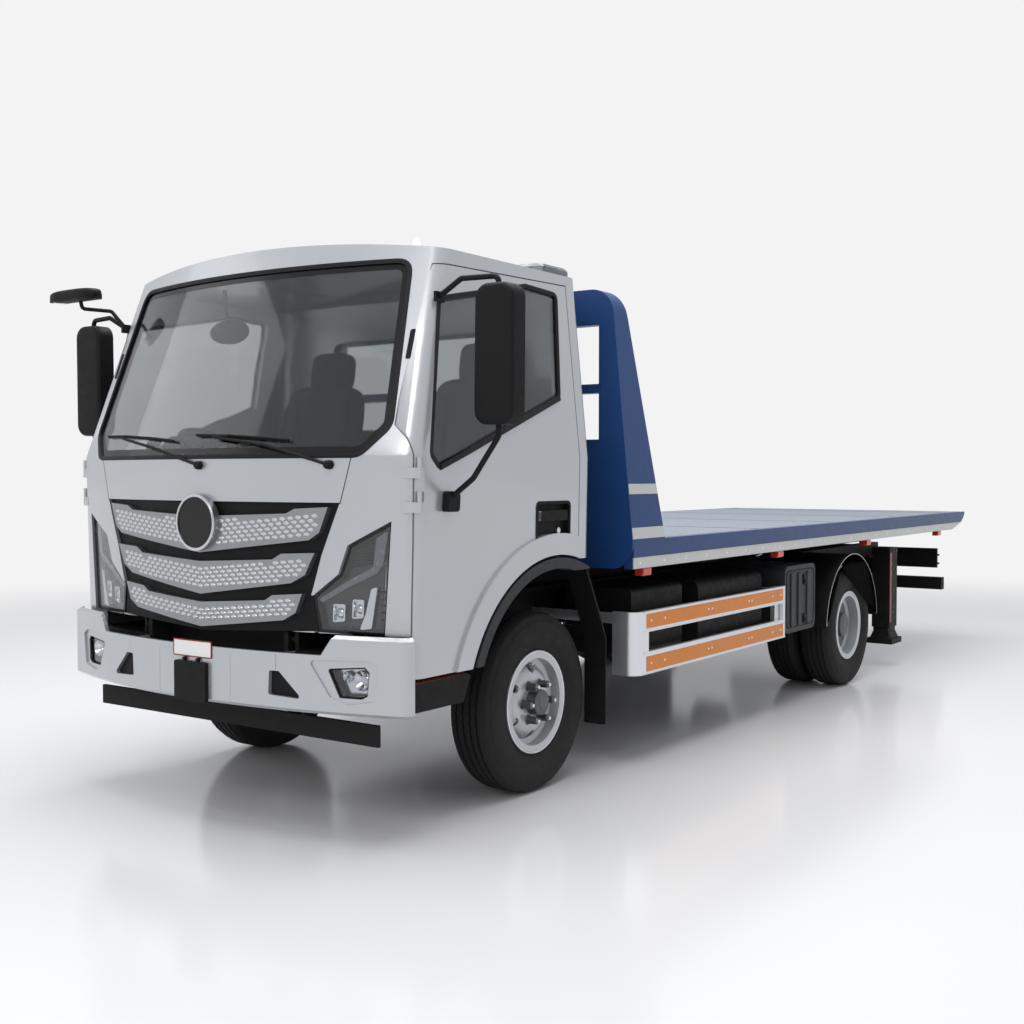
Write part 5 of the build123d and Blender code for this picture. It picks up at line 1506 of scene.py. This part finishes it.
@dataclass(frozen=True)
class Cabin:
    """Upholstered seats on their frames, dashboard fittings and the middle mirror."""

    seat_x: tuple[float, ...] = (0.480, -0.480)

    def seats(self) -> None:
        piece = Piece("seat_cushions", SEAT_CLOTH, "cab")
        for x in self.seat_x:
            piece.pillow((x, along(-0.275), 1.235), (0.250, 0.255, 0.070), -2.0, 0.34, 0.010)
            piece.pillow((x, along(0.062), 1.520), (0.235, 0.068, 0.345), -11.0, 0.34)
            piece.pillow((x, along(0.165), 1.935), (0.130, 0.044, 0.098), -8.0, 0.42)
            for dx in (-0.165, 0.165):
                piece.pillow((x + dx, along(0.020), 1.500), (0.058, 0.060, 0.285), -11.0, 0.5)
        cushions = piece.done()
        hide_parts("seats")
        piece = Piece("seat_frames", TRIM_BLACK, "cab")
        for x in self.seat_x:
            piece.block((x - 0.200, along(-0.460), 1.0755), (x + 0.200, along(-0.080), 1.178), 0.012, 3)
            for dx in (-0.045, 0.045):
                piece.tube([(x + dx, along(0.135), 1.820), (x + dx, along(0.158), 1.905)], 0.006, 10)
        piece.done()

    def controls(self) -> None:
        """Makes the dashboard's hood, screen, vents and knobs."""
        piece = Piece("dashboard_fittings", GLOSS_BLACK, "cab")
        piece.block((-0.680, along(-0.800), 1.425), (-0.280, along(-0.716), 1.470), 0.012, 3)
        piece.block((-0.140, along(-0.712), 1.290), (0.140, along(-0.696), 1.420), 0.006, 3)
        for x in (-0.80, -0.21, 0.21, 0.80):
            for k in range(5):
                piece.block((x - 0.045, along(-0.731), 1.350 + 0.012 * k),
                            (x + 0.045, along(-0.709), 1.3545 + 0.012 * k), 0.001, 1)
        for x in (-0.08, 0.0, 0.08):
            piece.spin([(-0.010, TIP), (-0.010, 0.016), (0.014, 0.013), (0.015, TIP)],
                       (x, along(-0.704), 1.262), 24, axis="Y")
        piece.done()

    def mirror(self) -> None:
        """Makes the oval middle mirror on its arm."""
        piece = Piece("inner_mirror", TRIM_BLACK, "cab")
        piece.plate(circle((-0.190, 2.036), 0.115, 0.052, 40), facing_back(-0.800), -0.012, 0.006)
        piece.tube([(-0.185, along(-0.808), 2.070), (-0.185, along(-0.830), 2.130),
                    (-0.185, along(-0.832), 2.215)], 0.008, 10)
        piece.done()

    def build(self) -> None:
        """Makes everything in the cab."""
        self.seats()
        self.controls()
        self.mirror()


class Studio:
    """Camera, floor and soft light."""

    position: Point = (3.98325, along(-4.60411), 1.41531)
    turn: Flat = (90 - 1.73, 35.02)
    lens: float = 43.99
    sky: float = 0.72
    backdrop: float = 0.896
    floor_fade: Flat = (5.5, 11.0)
    lamps: tuple[tuple[str, Point, Point, float, float], ...] = (
        ("key", (2.5, -12.0, 7.0), (0.0, -3.0, 1.0), 5.0, 330.0),
        ("fill", (-8.0, -8.0, 5.0), (0.0, -2.5, 1.0), 6.0, 80.0),
        ("top", (0.0, -1.5, 8.0), (0.0, -1.5, 0.0), 7.0, 760.0))

    def camera(self) -> None:
        """Puts the camera where the photograph was taken from."""
        data = bpy.data.cameras.new("view")
        data.lens, data.sensor_width = self.lens, 36.0
        data.clip_end = 200.0
        eye = bpy.data.objects.new("view", data)
        eye.location = self.position
        eye.rotation_euler = (math.radians(self.turn[0]), 0.0, math.radians(self.turn[1]))
        bpy.context.scene.collection.objects.link(eye)
        bpy.context.scene.camera = eye

    def floor(self) -> None:
        """Lays a pale, slightly glossy floor that fades to the backdrop's tone."""
        work = bmesh.new()
        bmesh.ops.create_grid(work, x_segments=2, y_segments=2, size=60.0)
        mesh = bpy.data.meshes.new("floor")
        work.to_mesh(mesh)
        work.free()
        ground = bpy.data.objects.new("floor", mesh)
        bpy.context.scene.collection.objects.link(ground)
        pale = bpy.data.materials.new("pale_floor")
        pale.use_nodes = True
        tree = pale.node_tree
        shader = tree.nodes["Principled BSDF"]
        feed(tree, shader, {"Base Color": (0.645, 0.645, 0.65, 1), "Roughness": 0.16,
                            "Specular IOR Level": 0.42})
        place = add_node(tree, "ShaderNodeTexCoord", {})
        reach = add_node(tree, "ShaderNodeVectorMath", {0: place.outputs["Object"]}, operation="LENGTH")
        start, end = self.floor_fade
        fade = add_node(tree, "ShaderNodeMapRange",
                        {"From Min": start, "From Max": end, "Value": reach.outputs["Value"]},
                        interpolation_type="SMOOTHSTEP")
        tone = (self.backdrop, self.backdrop, self.backdrop, 1)
        glow = add_node(tree, "ShaderNodeEmission", {"Color": tone})
        mixed = add_node(tree, "ShaderNodeMixShader",
                         {"Fac": fade.outputs[0], 1: shader.outputs[0], 2: glow.outputs[0]})
        feed(tree, tree.nodes["Material Output"], {"Surface": mixed.outputs[0]})
        mesh.materials.append(pale)

    def light(self) -> None:
        """Sets a pale backdrop, a softer sky light and the large soft lamps."""
        world = bpy.data.worlds.new("pale_sky")
        world.use_nodes = True
        tree = world.node_tree
        sky = tree.nodes["Background"]
        feed(tree, sky, {"Color": (0.95, 0.96, 1.0, 1), "Strength": self.sky})
        backdrop = add_node(tree, "ShaderNodeBackground",
                            {"Color": (self.backdrop, self.backdrop, self.backdrop, 1)})
        ray = add_node(tree, "ShaderNodeLightPath", {})
        mixed = add_node(tree, "ShaderNodeMixShader",
                         {"Fac": ray.outputs["Is Camera Ray"], 1: sky.outputs[0], 2: backdrop.outputs[0]})
        feed(tree, tree.nodes["World Output"], {"Surface": mixed.outputs[0]})
        bpy.context.scene.world = world
        for name, place, aim, size, power in self.lamps:
            data = bpy.data.lights.new(name, "AREA")
            data.size, data.energy = size, power
            lamp = bpy.data.objects.new(name, data)
            lamp.location = place
            lamp.rotation_euler = (Vector(aim) - Vector(place)).to_track_quat("-Z", "Y").to_euler()
            bpy.context.scene.collection.objects.link(lamp)
        bpy.context.scene.view_settings.view_transform = "Standard"


def dress_nodes(nodes: dict[str, bpy.types.Object]) -> None:
    """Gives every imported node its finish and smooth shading."""
    shade = SmoothShade()
    for name, node in nodes.items():
        finish = NODE_FINISH[name].build()
        if node.material_slots:
            for slot in node.material_slots:
                slot.material = finish
        else:
            node.data.materials.append(finish)
        shade.put_on(node)


def main() -> None:
    """Builds the dressed truck on its frame."""
    logging.basicConfig(level=logging.INFO, format="%(message)s")
    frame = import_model()
    studio = Studio()
    studio.camera()
    studio.floor()
    studio.light()
    dress_nodes(frame["nodes"])
    for part in (Tyre(), Windows(), Grille(), Headlights(), Bumper(), RoofAndPillars(), Wipers(),
                 DoorFittings(), Steps(), SideFittings(), Deck(), Winch(), WheelFittings(), Cabin()):
        part.build()


if __name__ == "__main__":
    main()
